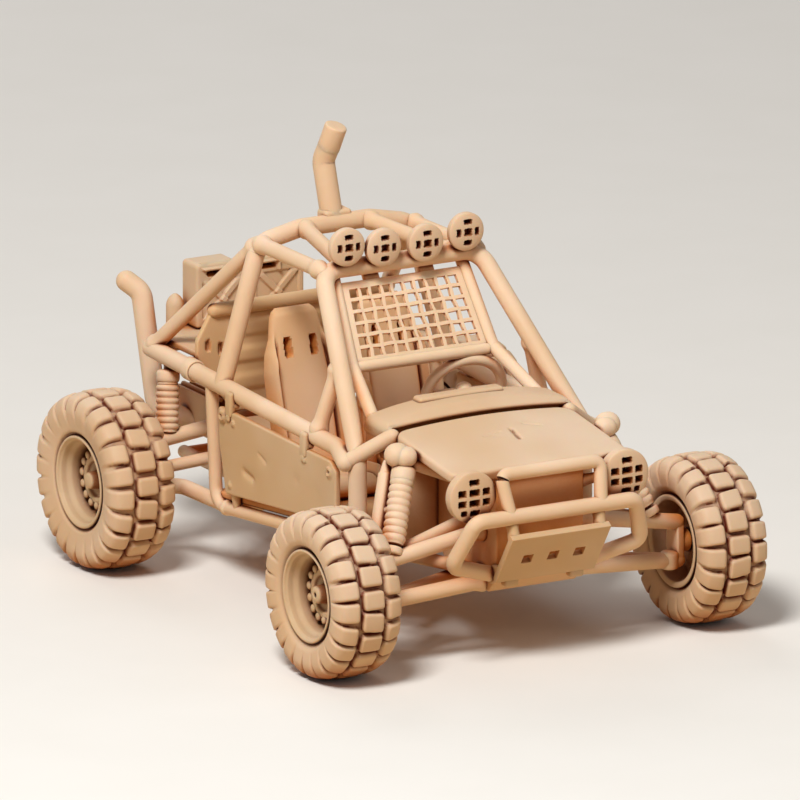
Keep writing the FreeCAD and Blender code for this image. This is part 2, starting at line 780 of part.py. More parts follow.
def make_skid(box, bumper):
    """The slanted plate under the nose, its windows, side flanges and hangers."""
    half = S["skid_half"]
    thick = S["skid_thickness"]
    top = at(-half, S["skid_top_y"], S["skid_top_z"])
    low = at(-half, S["skid_low_y"], S["skid_low_z"])
    slope = (top - low).normalize()
    inward = Vector(0, slope.z, -slope.y)
    across = Vector(2 * half, 0, 0)
    plate = prism([low, top, top + inward * thick, low + inward * thick], across)
    middle = (top + low) * 0.5 + across * 0.5
    side = S["skid_window"]
    for step in (-1, 0, 1):
        centre = middle + Vector(step * S["skid_window_pitch"], 0, 0)
        corner = centre - slope * (side / 2) - Vector(side / 2, 0, 0) - inward
        face = [corner, corner + Vector(side, 0, 0), corner + Vector(side, 0, 0) + slope * side,
                corner + slope * side]
        plate = plate.cut(prism(face, inward * (thick + 2)))
    flange = prism([low + inward * 0.2, top + inward * 0.2, at(-half, S["box_front_y"], S["skid_top_z"] - 1),
                    at(-half, S["box_front_y"] + 1.5, S["box_floor_z"] + 2.6),
                    at(-half, S["box_front_y"] + 0.5, S["skid_low_z"] - 0.6)], Vector(0.9, 0, 0))
    other = flipped(flange)
    shape = plate.fuse([flange, other])
    for sign in (-1, 1):
        hook = at(sign * (S["nudge_half"] - 1.0), S["bumper_y"] - 0.2, S["bumper_z"])
        seat = Vector(hook.x, 0, 0) + top + inward * 0.6 - slope * 0.4 + Vector(half, 0, 0)
        shape = shape.fuse(rod(seat, hook, 0.8))
        ear = box_between(at(sign * 5.2 - 1.1, S["skid_low_y"] + 0.1, S["skid_low_z"] - 0.8),
                          at(sign * 5.2 + 1.1, S["skid_low_y"] + 1.4, S["skid_low_z"] + 0.3))
        shape = shape.fuse(ear)
    shape = coped(shape.removeSplitter(), bumper, box)
    keep("skid_plate", shape)


def lamp_face(radius, depth, rows, slot):
    """A round lamp that looks along -Y, with slots cut in its guard, at the origin."""
    drum = Part.makeCylinder(radius, depth, Vector(0, 0, 0), Vector(0, 1, 0))
    tray = Part.makeCylinder(radius - 0.5, 0.25, Vector(0, 0, 0), Vector(0, 1, 0))
    drum = drum.cut(tray)
    for across, up in rows:
        window = Part.makeBox(slot, 0.9, slot * 0.8,
                              Vector(across - slot / 2, -0.1, up - slot * 0.4))
        drum = drum.cut(window)
    return drum


def make_lamps(box, hood, screen):
    slot = S["lamp_slot"]
    pitch = slot * 1.9
    rows = [(0, 1.5 * pitch), (-pitch, 0.5 * pitch), (0, 0.5 * pitch), (pitch, 0.5 * pitch),
            (-pitch, -0.5 * pitch), (0, -0.5 * pitch), (pitch, -0.5 * pitch), (0, -1.5 * pitch)]
    radius = S["headlamp_radius"]
    face = S["headlamp_face_y"]
    lamp = lamp_face(radius, 1.5, rows, slot)
    bowl = Part.makeCone(radius, 1.3, 1.6, Vector(0, 1.5, 0), Vector(0, 1, 0))
    lamp = lamp.fuse(bowl)
    lamp.translate(at(S["headlamp_x"], face, S["headlamp_z"]))
    arm = rod(at(S["headlamp_x"], face + 3.0, S["headlamp_z"]),
              at(S["nose_half"] - 0.5, S["box_front_y"] + 1.2, S["headlamp_z"] - 1.0), 0.7)
    lamp = coped(lamp.fuse(arm), box, hood)
    keep("headlamp_left", lamp)
    keep("headlamp_right", flipped(lamp))

    cross = [(0, 0), (0, 1.25), (0, -1.25), (1.25, 0), (-1.25, 0)]
    radius = S["roof_lamp_radius"]
    lamps = []
    for x, z in ((S["roof_lamp_outer_x"], S["roof_lamp_outer_z"]),
                 (S["roof_lamp_inner_x"], S["roof_lamp_inner_z"])):
        lamp = lamp_face(radius, 1.3, cross, slot * 0.9)
        lamp = lamp.fuse(Part.makeCone(radius, 1.2, 0.9, Vector(0, 1.3, 0), Vector(0, 1, 0)))
        lamp.translate(at(x, S["roof_lamp_face_y"], z))
        stand = rod(at(x, S["roof_lamp_face_y"] + 1.6, z - 0.3),
                    at(x, S["screen_corner_y"], S["screen_corner_z"]), 0.7)
        lamp = coped(lamp.fuse(stand), screen)
        lamps += [lamp, flipped(lamp)]
    keep("roof_lamps", pair(*lamps))


# Cabin: floor, seats, controls, net and side armour

def floor_z(y):
    """Height of the floor's top, which lies on the lower tubes."""
    return low_z(y) + S["brace_tube"] + S["floor_thickness"]


def make_floor(frame, box):
    front = S["hood_rear_y"]
    rear = LOW_REAR_Y + 1.2
    half = S["frame_half_width"]
    knee = S["rail_front_y"] + 1.0
    low = S["brace_tube"]
    thick = S["floor_thickness"]
    outline = [at(-half, front, low_z(front) + low), at(-half, rear, low_z(rear) + low),
               at(-half, rear, low_z(rear) + low + thick),
               at(-half, front, low_z(front) + low + thick)]
    plate = prism(outline, Vector(2 * half, 0, 0))
    for sign in (-1, 1):
        corner = [at(sign * (half + 1), front - 1, 0), at(sign * (half + 1), knee, 0),
                  at(sign * half, knee, 0), at(sign * (S["nose_half"] + 4.2), front - 1, 0)]
        plate = plate.cut(prism(corner, Vector(0, 0, 30)))
    plate = coped(plate, box, frame["screen"], *frame["sides"])
    keep("floor_pan", plate)
    return plate


def make_seat(label, side):
    """A bucket seat: a shell with side bolsters, harness slots and a cushion."""
    body = new_body(label)
    half = "seat_width / 2"
    base = outline_sketch(body, label + "_base", "XY_Plane", [
        (f"-({half})", "0"), (f"-({half})", "1 - seat_depth"), (f"1.2 - {half}", "-seat_depth"),
        (f"{half} - 1.2", "-seat_depth"), (half, "1 - seat_depth"), (half, "0")])
    pad(body, label + "_pan", base, "seat_cushion + seat_bolster")
    well = outline_sketch(body, label + "_well", "XY_Plane", [
        (f"seat_bolster - {half}", "0"), (f"seat_bolster - {half}", "-seat_depth - 1"),
        (f"{half} - seat_bolster", "-seat_depth - 1"), (f"{half} - seat_bolster", "0")])
    lifted(well, "seat_cushion")
    pocket(body, label + "_hollow", well, "seat_bolster + 1", back=True)

    def tilt(sketch, forward):
        turn = Rotation(Vector(1, 0, 0), -S["seat_recline"])
        sketch.AttachmentOffset = Placement(Vector(0, 0, forward), turn)

    back = outline_sketch(body, label + "_back", "XZ_Plane", [
        (f"-({half})", "0.7"), (f"-({half})", "seat_back_height * 0.52"),
        (f"-({half}) * 0.66", "seat_back_height * 0.9"),
        (f"-({half}) * 0.52", "seat_back_height"), (f"({half}) * 0.52", "seat_back_height"),
        (f"({half}) * 0.66", "seat_back_height * 0.9"),
        (half, "seat_back_height * 0.52"), (half, "0.7")])
    tilt(back, 0)
    pad(body, label + "_shell", back, "seat_shell + seat_bolster")
    dish = outline_sketch(body, label + "_dish", "XZ_Plane", [
        (f"seat_bolster - {half}", "seat_cushion"),
        (f"seat_bolster - {half}", "seat_back_height * 0.5"),
        (f"-({half}) * 0.42", "seat_back_height * 0.88"),
        (f"({half}) * 0.42", "seat_back_height * 0.88"),
        (f"{half} - seat_bolster", "seat_back_height * 0.5"),
        (f"{half} - seat_bolster", "seat_cushion")])
    tilt(dish, S["seat_shell"])
    pocket(body, label + "_dished", dish, "seat_bolster * 3", back=True)
    for name, sign in (("_slot_a", -1), ("_slot_b", 1)):
        slot = outline_sketch(body, label + name, "XZ_Plane", [
            (f"{sign} * 2 - 0.45", "seat_back_height * 0.73"),
            (f"{sign} * 2 - 0.45", "seat_back_height * 0.83"),
            (f"{sign} * 2 + 0.45", "seat_back_height * 0.83"),
            (f"{sign} * 2 + 0.45", "seat_back_height * 0.73")])
        tilt(slot, -1.0)
        pocket(body, label + name + "_cut", slot, "seat_shell + seat_bolster * 3", back=True)
    turn = Rotation(Vector(1, 0, 0), -math.degrees(math.atan(LOW_RISE)))
    back_y = REAR_AXLE - S["seat_back_ahead"]
    place(body, f"{side} * seat_x", f"{FROM_REAR} - seat_back_ahead", floor_z(back_y), turn)
    return body


def make_controls(box, cowl):
    tilt = math.radians(S["steering_tilt"])
    centre = at(S["steering_x"], S["steering_y"], S["steering_z"])
    anchor = at(S["nose_half"] - 2.0, S["hood_rear_y"] - 0.5,
                S["steering_z"] - (S["steering_y"] - S["hood_rear_y"]) * math.tan(tilt))
    axis = (anchor - centre).normalize()
    radius = S["steering_radius"]
    rim = S["steering_rim"]
    wheel = Part.makeTorus(radius, rim, centre, axis)
    hub = Part.makeCylinder(1.3, 1.0, centre - axis * 0.4, axis)
    column = rod(centre, anchor, 0.65)
    across = axis.cross(Vector(0, 0, 1)).normalize()
    down = axis.cross(across)
    if down.z > 0:
        down = down * -1
    spokes = [rod(centre, centre + direction * radius, 0.45)
              for direction in (across, across * -1, down)]
    shape = wheel.fuse([hub, column] + spokes).removeSplitter()
    keep("steering_wheel", coped(shape, box, cowl))

    lever = new_body("gear_lever")
    profile = outline_sketch(lever, "gear_lever_profile", "XZ_Plane", [
        ("0", "0"), ("1.4", "0"), ("1.1", "lever_height * 0.3"), ("0.7", "lever_height * 0.4"),
        ("0.7", "lever_height * 0.7"), ("1.2", "lever_height * 0.74"),
        ("1.05", "lever_height * 0.9"), ("0.6", "lever_height * 0.98"), ("0", "lever_height")])
    turned(lever, "gear_lever_turned", profile)
    turn = Rotation(Vector(1, 0, 0), -math.degrees(math.atan(LOW_RISE)))
    foot_z = floor_z(REAR_AXLE - S["lever_ahead"])
    place(lever, 0, f"{FROM_REAR} - lever_ahead", foot_z, turn)


def make_net(screen, cowl):
    """The woven screen: a border with square windows, hung behind the pillars."""
    thick = S["net_thickness"]
    top = at(S["net_top_half"], S["net_top_y"], S["net_top_z"])
    low = at(S["net_bottom_half"], S["net_bottom_y"], S["net_bottom_z"])
    share = (S["net_bottom_z"] - S["net_foot_z"] + 2.0) / (S["net_top_z"] - S["net_bottom_z"])
    foot = low + (low - top) * share
    up = (Vector(0, top.y, top.z) - Vector(0, low.y, low.z)).normalize()
    normal = Vector(1, 0, 0).cross(up)
    border = S["net_border"]
    rim = [top, mirrored(top), mirrored(low), low]
    sheet_solid = prism(rim, normal * thick)
    height = (Vector(0, top.y, top.z) - Vector(0, low.y, low.z)).Length
    rows = int(S["net_rows"])
    columns = int(S["net_columns"])
    strand = S["net_strand"]
    clear_height = height - 2 * border
    row_pitch = (clear_height + strand) / rows
    windows = []
    for row in range(rows):
        base = border + row * row_pitch
        half_low = S["net_bottom_half"] + (base / height) * (S["net_top_half"] - S["net_bottom_half"])
        crest = base + row_pitch - strand
        half_top = (S["net_bottom_half"]
                    + (crest / height) * (S["net_top_half"] - S["net_bottom_half"]))
        for column in range(columns):
            corners = []
            for high, half, side in ((base, half_low, 0), (base, half_low, 1),
                                     (crest, half_top, 1), (crest, half_top, 0)):
                clear = 2 * (half - border)
                pitch = (clear + strand) / columns
                x = -half + border + column * pitch + side * (pitch - strand)
                origin = Vector(x, low.y, low.z)
                corners.append(origin + up * high - normal)
            windows.append(prism(corners, normal * (thick + 2)))
    panel = sheet_solid.cut(Part.makeCompound(windows))
    for flip in (False, True):
        inner = Vector(border, 0, 0)
        leg = prism([low, foot, foot - inner, low - inner], normal * thick)
        tab_x = 4.3
        tab = prism([Vector(tab_x - 0.9, top.y, top.z) - up * 0.5,
                     Vector(tab_x + 0.9, top.y, top.z) - up * 0.5,
                     at(tab_x + 0.9, S["screen_corner_y"], S["screen_corner_z"]),
                     at(tab_x - 0.9, S["screen_corner_y"], S["screen_corner_z"])], normal * thick)
        side_tab = rod(low + up * 3 - Vector(0.4, 0, 0) + normal * 0.4,
                       screen_point(S["net_bottom_z"] + 2.0), 0.6)
        extra = [leg, tab, side_tab]
        if flip:
            extra = [flipped(item) for item in extra]
        panel = panel.fuse(extra)
    panel = coped(panel.removeSplitter(), screen, cowl)
    keep("windscreen_net", panel)


def make_armour(frame, floor):
    """A flat side plate, bolted to two straps that wrap the side rail."""
    thick = S["panel_thickness"]
    outer = S["panel_x"]
    inner = outer - thick
    front = S["panel_front_y"]
    rear = REAR_AXLE - S["panel_rear_ahead"]
    outline = [at(inner, front, S["panel_front_low_z"]),
               at(inner, front, S["panel_top_z"]),
               at(inner, rear, S["panel_top_z"] + 0.4),
               at(inner, rear - 3.0, S["panel_rear_low_z"])]
    plate = prism(outline, Vector(thick, 0, 0))
    edges = [edge for edge in plate.Edges if abs(edge.tangentAt(edge.FirstParameter).x) > 0.99]
    plate = plate.makeFillet(0.8, edges)
    width = S["strap_width"]
    main = S["main_tube"]
    for y in (front + 9.1, rear - 3.9):
        z = rail_z(y)
        ring = Part.makeCylinder(main + 0.45, width, at(HALF, y - width / 2, z), Vector(0, 1, 0))
        tongue = box_between(at(inner + 0.3, y - width / 2, z - 4.4),
                             at(outer + 0.2, y + width / 2, z))
        plate = plate.fuse([ring, tongue])
    for y, z in ((front + 2.0, S["panel_front_low_z"] + 1.6),
                 (rear - 4.0, S["panel_rear_low_z"] + 1.6)):
        plate = plate.fuse(rod(at(HALF, y, low_z(y)), at(inner + 0.2, y, z), 0.7))
    plate = coped(plate.removeSplitter(), frame["rails"][0], frame["sides"][0], frame["screen"],
                  frame["struts"], floor)
    keep("side_armour_left", plate)
    keep("side_armour_right", flipped(plate))


# Front and rear suspension: this kit moulds the arms, knuckles and shocks fixed

def knuckle(label, side, y, radius, plate):
    """An upright plate with a boss and the spindle on which the wheel turns."""
    body = new_body(label)
    corners = [(f"{y} + {across}", up) for across, up in plate]
    outline = outline_sketch(body, label + "_plate", "YZ_Plane", corners)
    lifted(outline, f"{side} * (track_half - knuckle_inset - 1)")
    left = side < 0
    pad(body, label + "_pad", outline, "1.2", back=left)
    outer = "(track_half - knuckle_inset + 0.2)"
    hub_face = ("(track_half + rim_disc_face - rim_disc_thickness"
                " - hub_length + rim_disc_thickness)")
    boss = circle_sketch(body, label + "_boss", "YZ_Plane", y, radius, "1.7")
    lifted(boss, f"{side} * {outer}")
    pad(body, label + "_boss_pad", boss, f"{hub_face} - end_clearance - {outer}", back=left)
    pin = circle_sketch(body, label + "_pin", "YZ_Plane", y, radius, "spindle_radius")
    lifted(pin, f"{side} * {outer}")
    pad(body, label + "_pin_pad", pin,
        f"track_half + rim_disc_face - 0.2 - end_clearance - {outer}", back=left)
    return body


def between(first, last, share):
    return first + share * (last - first)


def coil_over(foot, top, stretch, rod_end):
    """A shock with ribbed, twelve-sided coils between two seats."""
    radius = S["shock_radius"]
    axis = (top - foot).normalize()
    side = axis.cross(Vector(0, 1, 0)).normalize()
    front = axis.cross(side)
    length = (top - foot).Length
    core = rod(foot, top, radius - 0.35)
    shape = core.fuse(rod(foot, rod_end, S["shock_rod"]))
    coils = 8
    pitch = (length - stretch) / coils
    rings = []
    for index in range(coils):
        start = foot + axis * (stretch + index * pitch)
        corners = [start + side * (radius * math.cos(turn)) + front * (radius * math.sin(turn))
                   for turn in (math.radians(30 * step) for step in range(12))]
        rings.append(prism(corners, axis * (pitch * 0.62)))
    shape = shape.fuse(rings)
    shape = shape.fuse(rod(foot, foot + axis * (stretch * 0.8), radius))
    return shape


def make_front_suspension(frame, box, hood):
    outer = ARM_OUTER_X
    y = S["front_arm_y"]
    far_y = y + S["front_arm_spread"]
    root = S["nose_half"] - 1.0
    axle = "front_tyre_radius"
    plate = [("-1.7", f"{axle} - 3.4"), ("-1.9", axle), ("-1.7", f"{axle} + 3.8"),
             ("0.7", f"{axle} + 3.8"), ("1.5", f"{axle} + 1"), ("1.5", f"{axle} - 1"),
             ("0.7", f"{axle} - 3.4")]
    left = knuckle("front_knuckle_left", 1, "front_axle_y", "front_tyre_radius", plate)
    knuckle("front_knuckle_right", -1, "front_axle_y", "front_tyre_radius", plate)
    doc.recompute()
    upright = left.Shape
    arms = []
    for outer_z, inner_z in ((S["front_upper_outer_z"], S["front_upper_inner_z"]),
                             (S["front_lower_outer_z"], S["front_lower_inner_z"])):
        end = at(outer, S["front_arm_outer_y"], outer_z)
        arm = rod(end, at(root, y, inner_z), S["arm_tube"])
        second = rod(end, at(root, far_y, inner_z + 0.2), S["arm_tube"] * 0.9)
        arm = arm.fuse([second, Part.makeSphere(S["arm_tube"], end)]).removeSplitter()
        arms.append(coped(arm, upright, box, frame["sides"][0]))
    keep("front_arms_left", pair(*arms))
    keep("front_arms_right", pair(*[flipped(arm) for arm in arms]))

    top = at(S["front_shock_top_x"], S["front_shock_top_y"], S["front_shock_top_z"])
    share = S["front_shock_foot_inset"] / (outer - root)
    foot = at(outer - S["front_shock_foot_inset"],
              S["front_arm_outer_y"] + share * (y - S["front_arm_outer_y"]),
              between(S["front_upper_outer_z"], S["front_upper_inner_z"], share) + 0.6)
    shock = coil_over(foot, foot + (top - foot) * 0.9, 1.4, top)
    eye = Part.makeCylinder(1.5, 3.4, top - Vector(1.8, 0, 0), Vector(1, 0, 0))
    tower = rod(top - Vector(1.0, 0, 1.0), at(root, S["front_shock_top_y"], 24.0), 0.95)
    beside = Vector(1.2, 2.0, 0).normalize() * 2.4
    lower = foot + (top - foot) * 0.12 + beside
    bottle = rod(lower, foot + (top - foot) * 0.72 + beside, 0.83)
    clip = rod(foot + (top - foot) * 0.45, foot + (top - foot) * 0.45 + beside, 0.6)
    shock = shock.fuse([eye, tower, bottle, clip]).removeSplitter()
    shock = coped(shock, box, hood, arms[0], frame["sides"][0])
    keep("front_shock_left", shock)
    keep("front_shock_right", flipped(shock))


def make_rear(frame, floor):
    """Gearbox, engine, cradle, arms, shocks and half shafts."""
    axle = REAR_AXLE
    nose = f"{FROM_REAR} - gearbox_ahead"
    engine_face = f"{FROM_REAR} + engine_behind"
    gear = new_body("gearbox")
    outline = outline_sketch(gear, "gearbox_side", "YZ_Plane", [
        (nose, "11.4"), (nose, "14.6"), (f"{nose} + 3.1", "16.8"), (f"{nose} + 4.8", "20.4"),
        (engine_face, "20.4"), (engine_face, "11.4")])
    pad(gear, "gearbox_pad", outline, "2 * gearbox_half", both_ways=True)

    engine = new_body("engine")
    block = outline_sketch(engine, "engine_block", "XZ_Plane", [
        ("-4.6", "engine_low_z - 1.2"), ("4.6", "engine_low_z - 1.2"),
        ("5.4", "engine_low_z + 0.8"), ("engine_half", "engine_low_z + 2.4"),
        ("engine_half", "engine_low_z + 8.2"), ("6.2", "engine_low_z + 9.6"),
        ("5.4", "engine_top_z"), ("-5.4", "engine_top_z"), ("-6.2", "engine_low_z + 9.6"),
        ("-engine_half", "engine_low_z + 8.2"), ("-engine_half", "engine_low_z + 2.4"),
        ("-5.4", "engine_low_z + 0.8")])
    lifted(block, f"-({engine_face})")
    pad(engine, "engine_pad", block, "engine_length", back=True)
    for index, side in enumerate((1, -1, 1, -1, 1, -1)):
        start = f"({side} * (6.4 + {index // 2} * 1.5))"
        slot = outline_sketch(engine, f"engine_fin_{index}", "XY_Plane", [
            (start, f"{engine_face} - 1"), (f"{start} + {side} * 0.7", f"{engine_face} - 1"),
            (f"{start} + {side} * 0.7", f"{engine_face} + engine_length + 1"),
            (start, f"{engine_face} + engine_length + 1")])
        lifted(slot, "engine_low_z + 6.4")
        pocket(engine, f"engine_groove_{index}", slot, "6", back=True)
    doc.recompute()
    motor = engine.Shape
    gears = gear.Shape

    half = S["cradle_half"]
    low = 10.4
    front_y = axle + S["engine_behind"]
    rear_y = front_y + S["engine_length"] - 1.0
    front = LOW_REAR_Y - S["frame_bend"]
    bar_y = BULKHEAD_Y - 0.4
    mount_y = front_y + 4.1
    tube = S["light_tube"]
    spar = coped(rod(at(half, front, low), at(half, rear_y + tube, low), tube), frame["lower"])
    spars = [spar, flipped(spar)]
    bars = [coped(rod(at(half, y, low), at(-half, y, low), tube), *spars)
            for y in (bar_y, mount_y, rear_y)]
    mount = coped(rod(at(0, bar_y, low), at(0, bar_y, 12.4), 1.2), bars[0], gears)
    bars[0] = bars[0].fuse(mount).removeSplitter()
    blocks = [coped(box_between(at(sign * 3.0 - 1.0, mount_y - 0.8, low),
                                at(sign * 3.0 + 1.0, mount_y + 0.8, 12.0)),
                    bars[1], motor) for sign in (-1, 1)]
    bars[1] = bars[1].fuse(blocks).removeSplitter()
    cradle = pair(*spars, *bars)
    keep("engine_cradle", cradle)

    hub = "rear_tyre_radius"
    plate = [("-2.0", f"{hub} - 3.6"), ("-2.3", hub), ("-1.8", f"{hub} + 4.6"),
             ("1.8", f"{hub} + 4.6"), ("2.3", hub), ("2.0", f"{hub} - 3.6")]
    left = knuckle("rear_knuckle_left", 1, FROM_REAR, hub, plate)
    knuckle("rear_knuckle_right", -1, FROM_REAR, hub, plate)
    doc.recompute()
    upright = left.Shape
    outer = ARM_OUTER_X
    root = S["gearbox_half"] - 1
    upper = rod(at(outer, axle, S["rear_upper_outer_z"]), at(root, axle, S["rear_upper_inner_z"]),
                S["arm_tube"])
    upper = coped(upper, upright, gears)
    corner = at(HALF - 0.6, LOW_REAR_Y - 0.8, S["low_rear_z"] + 0.2)
    lower = bent_tube([corner, at(HALF + 0.6, axle - 3.0, 10.9), at(outer, axle - 0.6, 11.2)],
                      S["arm_tube"], 1.6)
    lower = coped(lower, upright, floor, *frame["sides"])
    keep("rear_arms_left", pair(upper, lower))
    keep("rear_arms_right", pair(flipped(upper), flipped(lower)))

    shaft = rod(at(outer, axle, S["rear_tyre_radius"]), at(root, axle, 14.0), S["half_shaft"])
    collar = Part.makeCone(0.9, 1.9, 2.4, at(S["gearbox_half"] + 2.2, axle, 13.85), Vector(-1, 0, 0))
    shaft = coped(shaft.fuse(collar).removeSplitter(), upright, gears)
    keep("half_shafts", pair(shaft, flipped(shaft)))

    top_y = axle + 2.56
    top = at(HALF - 0.3, top_y, rail_z(top_y) - 0.4)
    share = S["rear_shock_foot_inset"] / (outer - root)
    foot = at(outer - S["rear_shock_foot_inset"], axle + 0.1,
              between(S["rear_upper_outer_z"], S["rear_upper_inner_z"], share) + 0.2)
    shock = coil_over(foot, foot + (top - foot) * 0.8, 1.2, top)
    shock = coped(shock, frame["rails"][0], upper)
    keep("rear_shock_left", shock)
    keep("rear_shock_right", flipped(shock))
    return motor


def make_exhausts(motor, frame):
    radius = S["exhaust_radius"]
    port_y = REAR_AXLE + S["engine_behind"] + 5.6
    bend_y = REAR_AXLE + S["exhaust_bend_behind"]
    run = [at(-S["engine_half"] + 1.5, port_y, 16.0),
           at(1.0 - S["exhaust_x"], bend_y - 2.5, 18.2),
           at(-S["exhaust_x"], bend_y, S["exhaust_bend_z"]),
           at(-S["exhaust_x"] - 1.6, bend_y + 1.5, S["exhaust_bend_z"] + 1.5)]
    pipe = bent_tube(run, radius, 2.4)
    pipe = pipe.fuse(Part.makeSphere(radius, run[-1])).removeSplitter()
    pipe = coped(pipe, motor, frame["upper"])
    keep("exhaust", pipe)

    radius = S["stack_radius"]
    y = REAR_AXLE - S["stack_kink_ahead"]
    z = S["stack_kink_z"]
    foot = at(0, HOOP_Y + 0.6, S["hoop_crown_z"])
    kink = at(0, y, z)
    tip = at(1.0, y - 1.5, S["stack_tip_z"] - 0.9)
    stack = bent_tube([foot, kink, tip], radius, 2.0)
    collar = box_between(at(-1.8, HOOP_Y - 0.6, S["hoop_crown_z"]),
                         at(2.6, HOOP_Y + 2.3, S["hoop_crown_z"] + 1.9))
    stack = stack.fuse([Part.makeSphere(radius, tip), collar]).removeSplitter()
    keep("centre_stack", coped(stack, frame["hoop"]))


# Bulkhead, deck and what it carries

def make_bulkhead(frame, floor):
    """The ribbed wall behind the seats, with its rolled top and sloping foot."""
    half = S["bulkhead_half"]
    narrow = S["bulkhead_top_half"]
    y = BULKHEAD_Y
    back = Vector(0, S["bulkhead_wall"], 0)
    top = S["bulkhead_top_z"]
    step = top - 4.2
    low = 21.0
    rail_edge = rail_z(y) + 0.4
    outline = [at(-11, y, low), at(11, y, low), at(half, y, rail_edge), at(half, y, step),
               at(narrow, y, top), at(-narrow, y, top), at(-half, y, step), at(-half, y, rail_edge)]
    wall = prism(outline, back)
    roll = rod(at(-narrow, y + 0.45, top), at(narrow, y + 0.45, top), S["bulkhead_roll"])
    beads = [box_between(at(-10.6, y - 0.3, z), at(10.6, y + 0.3, z + 1.1))
             for z in (25.0, 28.6, 32.2)]
    wall = wall.fuse([roll] + beads).removeSplitter()
    for sign in (-1, 1):
        for x, z in ((15.2, 30.4), (13.2, 29.8)):
            slot = box_between(at(sign * x - 0.4, y - 1, z), at(sign * x + 0.4, y + 2, z + 1.5))
            wall = wall.cut(slot)
    foot_y = LOW_REAR_Y + 0.8
    foot_z = floor_z(foot_y) - S["floor_thickness"]
    apron = prism([at(-11, foot_y, foot_z), at(-11, y + 0.9, low), at(-11, y, low + 1.2),
                   at(-11, foot_y, foot_z + 1.2)], Vector(22, 0, 0))
    wall = wall.fuse(apron).removeSplitter()
    wall = coped(wall, floor, frame["upper"], frame["lower"], *frame["sides"], *frame["rails"])
    keep("rear_bulkhead", wall)
    return wall


def make_deck(frame, wall):
    """The flat deck between the side rails, which lies on the upper cross tubes."""
    half = S["deck_half"]
    front = BULKHEAD_Y + S["bulkhead_wall"]
    z = rail_z(RAIL_REAR_Y) + S["light_tube"] * 0.6
    thick = S["deck_thickness"]
    plate = box_between(at(-half, front, z), at(half, REAR_AXLE + S["deck_behind"], z + thick))
    edges = [edge for edge in plate.Edges
             if abs(edge.tangentAt(edge.FirstParameter).z) > 0.99
             and edge.CenterOfMass.y > plate.CenterOfMass.y]
    plate = plate.makeChamfer(S["deck_corner"], edges)
    plate = coped(plate, wall, frame["upper"], *frame["stays"], *frame["rails"])
    keep("rear_deck", plate)
    return z + thick


def make_can(label, x, deck_top):
    """A fuel can with bevelled shoulders, a crossed rib and a handle, on the deck."""
    body = new_body(label)
    half = "can_width / 2"
    face = outline_sketch(body, label + "_face", "XZ_Plane", [
        (f"-({half})", "0"), (half, "0"), (half, "can_height - 2.0"),
        (f"{half} - 2.4", "can_height"), (f"0.3 - {half}", "can_height"),
        (f"-({half})", "can_height - 0.4")])
    pad(body, label + "_pad", face, "can_depth", both_ways=True)
    hole = outline_sketch(body, label + "_hole", "XZ_Plane", [
        (f"0.5 - {half}", "can_height - 1.4"), (f"0.5 - {half}", "can_height - 0.7"),
        (f"{half} - 4.6", "can_height - 0.7"), (f"{half} - 4.6", "can_height - 1.4")])
    lifted(hole, "can_depth / 2 - can_grip")
    pocket(body, label + "_finger_gap", hole, "can_grip + 1", back=True)
    for name, sign in (("_rib_a", 1), ("_rib_b", -1)):
        rib = outline_sketch(body, label + name, "XZ_Plane", [
            (f"{sign} * 3.4", "1"), (f"{sign} * 2.7", "1"),
            (f"{sign} * -3.4", "can_height - 2.2"), (f"{sign} * -2.7", "can_height - 2.2")])
        lifted(rib, "can_depth / 2 - 0.1")
        pad(body, label + name + "_pad", rib, "0.35")
    place(body, x, f"{FROM_REAR} + cans_behind", deck_top)


def make_canister(deck_top):
    """A small upright canister with a domed top."""
    tank = new_body("canister")
    profile = outline_sketch(tank, "canister_profile", "XZ_Plane", [
        ("0", "0"), ("canister_radius", "0"), ("canister_radius", "canister_height - 1.3"),
        ("canister_radius * 0.85", "canister_height - 0.6"),
        ("canister_radius * 0.5", "canister_height - 0.1"), ("0", "canister_height")])
    turned(tank, "canister_turned", profile)
    place(tank, "canister_x", f"{FROM_REAR} + canister_behind", deck_top)


# Putting the buggy together

def make_car():
    box = make_front_box().Shape
    hood = make_hood()
    keep("hood", hood)
    cowl = coped(make_cowl(), box, hood)
    keep("cowl", cowl)
    frame = make_frame(box, cowl)
    bumper = make_bumper(box, hood)
    make_skid(box, bumper)
    make_lamps(box, hood, frame["screen"])
    floor = make_floor(frame, box)
    make_seat("seat_left", 1)
    make_seat("seat_right", -1)
    make_controls(box, cowl)
    make_net(frame["screen"], cowl)
    make_armour(frame, floor)
    make_front_suspension(frame, box, hood)
    motor = make_rear(frame, floor)
    make_exhausts(motor, frame)
    wall = make_bulkhead(frame, floor)
    deck_top = make_deck(frame, wall)
    make_can("fuel_can_right", "can_right_x", deck_top)
    make_can("fuel_can_left", "can_left_x", deck_top)
    make_canister(deck_top)
    make_wheels()


make_car()


def export_parts():
    """Checks every object, then writes each sub-part to its own file."""
    doc.recompute()
    for item in doc.Objects:
        if "Invalid" in item.State or "Error" in item.State:
            raise RuntimeError(f"{item.Name} failed: {item.State}")
    os.makedirs("parts", exist_ok=True)
    for item in PARTS:
        shape = item.Shape
        if shape.isNull() or not shape.isValid():
            raise RuntimeError(f"{item.Label} has no valid shape")
        shape.exportStep(f"parts/{item.Label}.step")
        print(item.Label, len(shape.Solids), round(shape.Volume, 2))


export_parts()
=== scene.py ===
# %% [markdown]
# # A cream resin dune buggy
# The real object is a small unpainted display model: every tube, plate and tyre is cast or printed
# in the same matte cream resin. The imported CAD solids give the sizes, and each wheel's tyre and rim
# ride on a body of their own. This script lays a finer surface over each solid, with the soft edges,
# ribs, lugs, dents and weave that a casting has, and gives all of it one warm resin, with painted
# shade in its gaps and hollows.

# %% Load the imported solids
import math

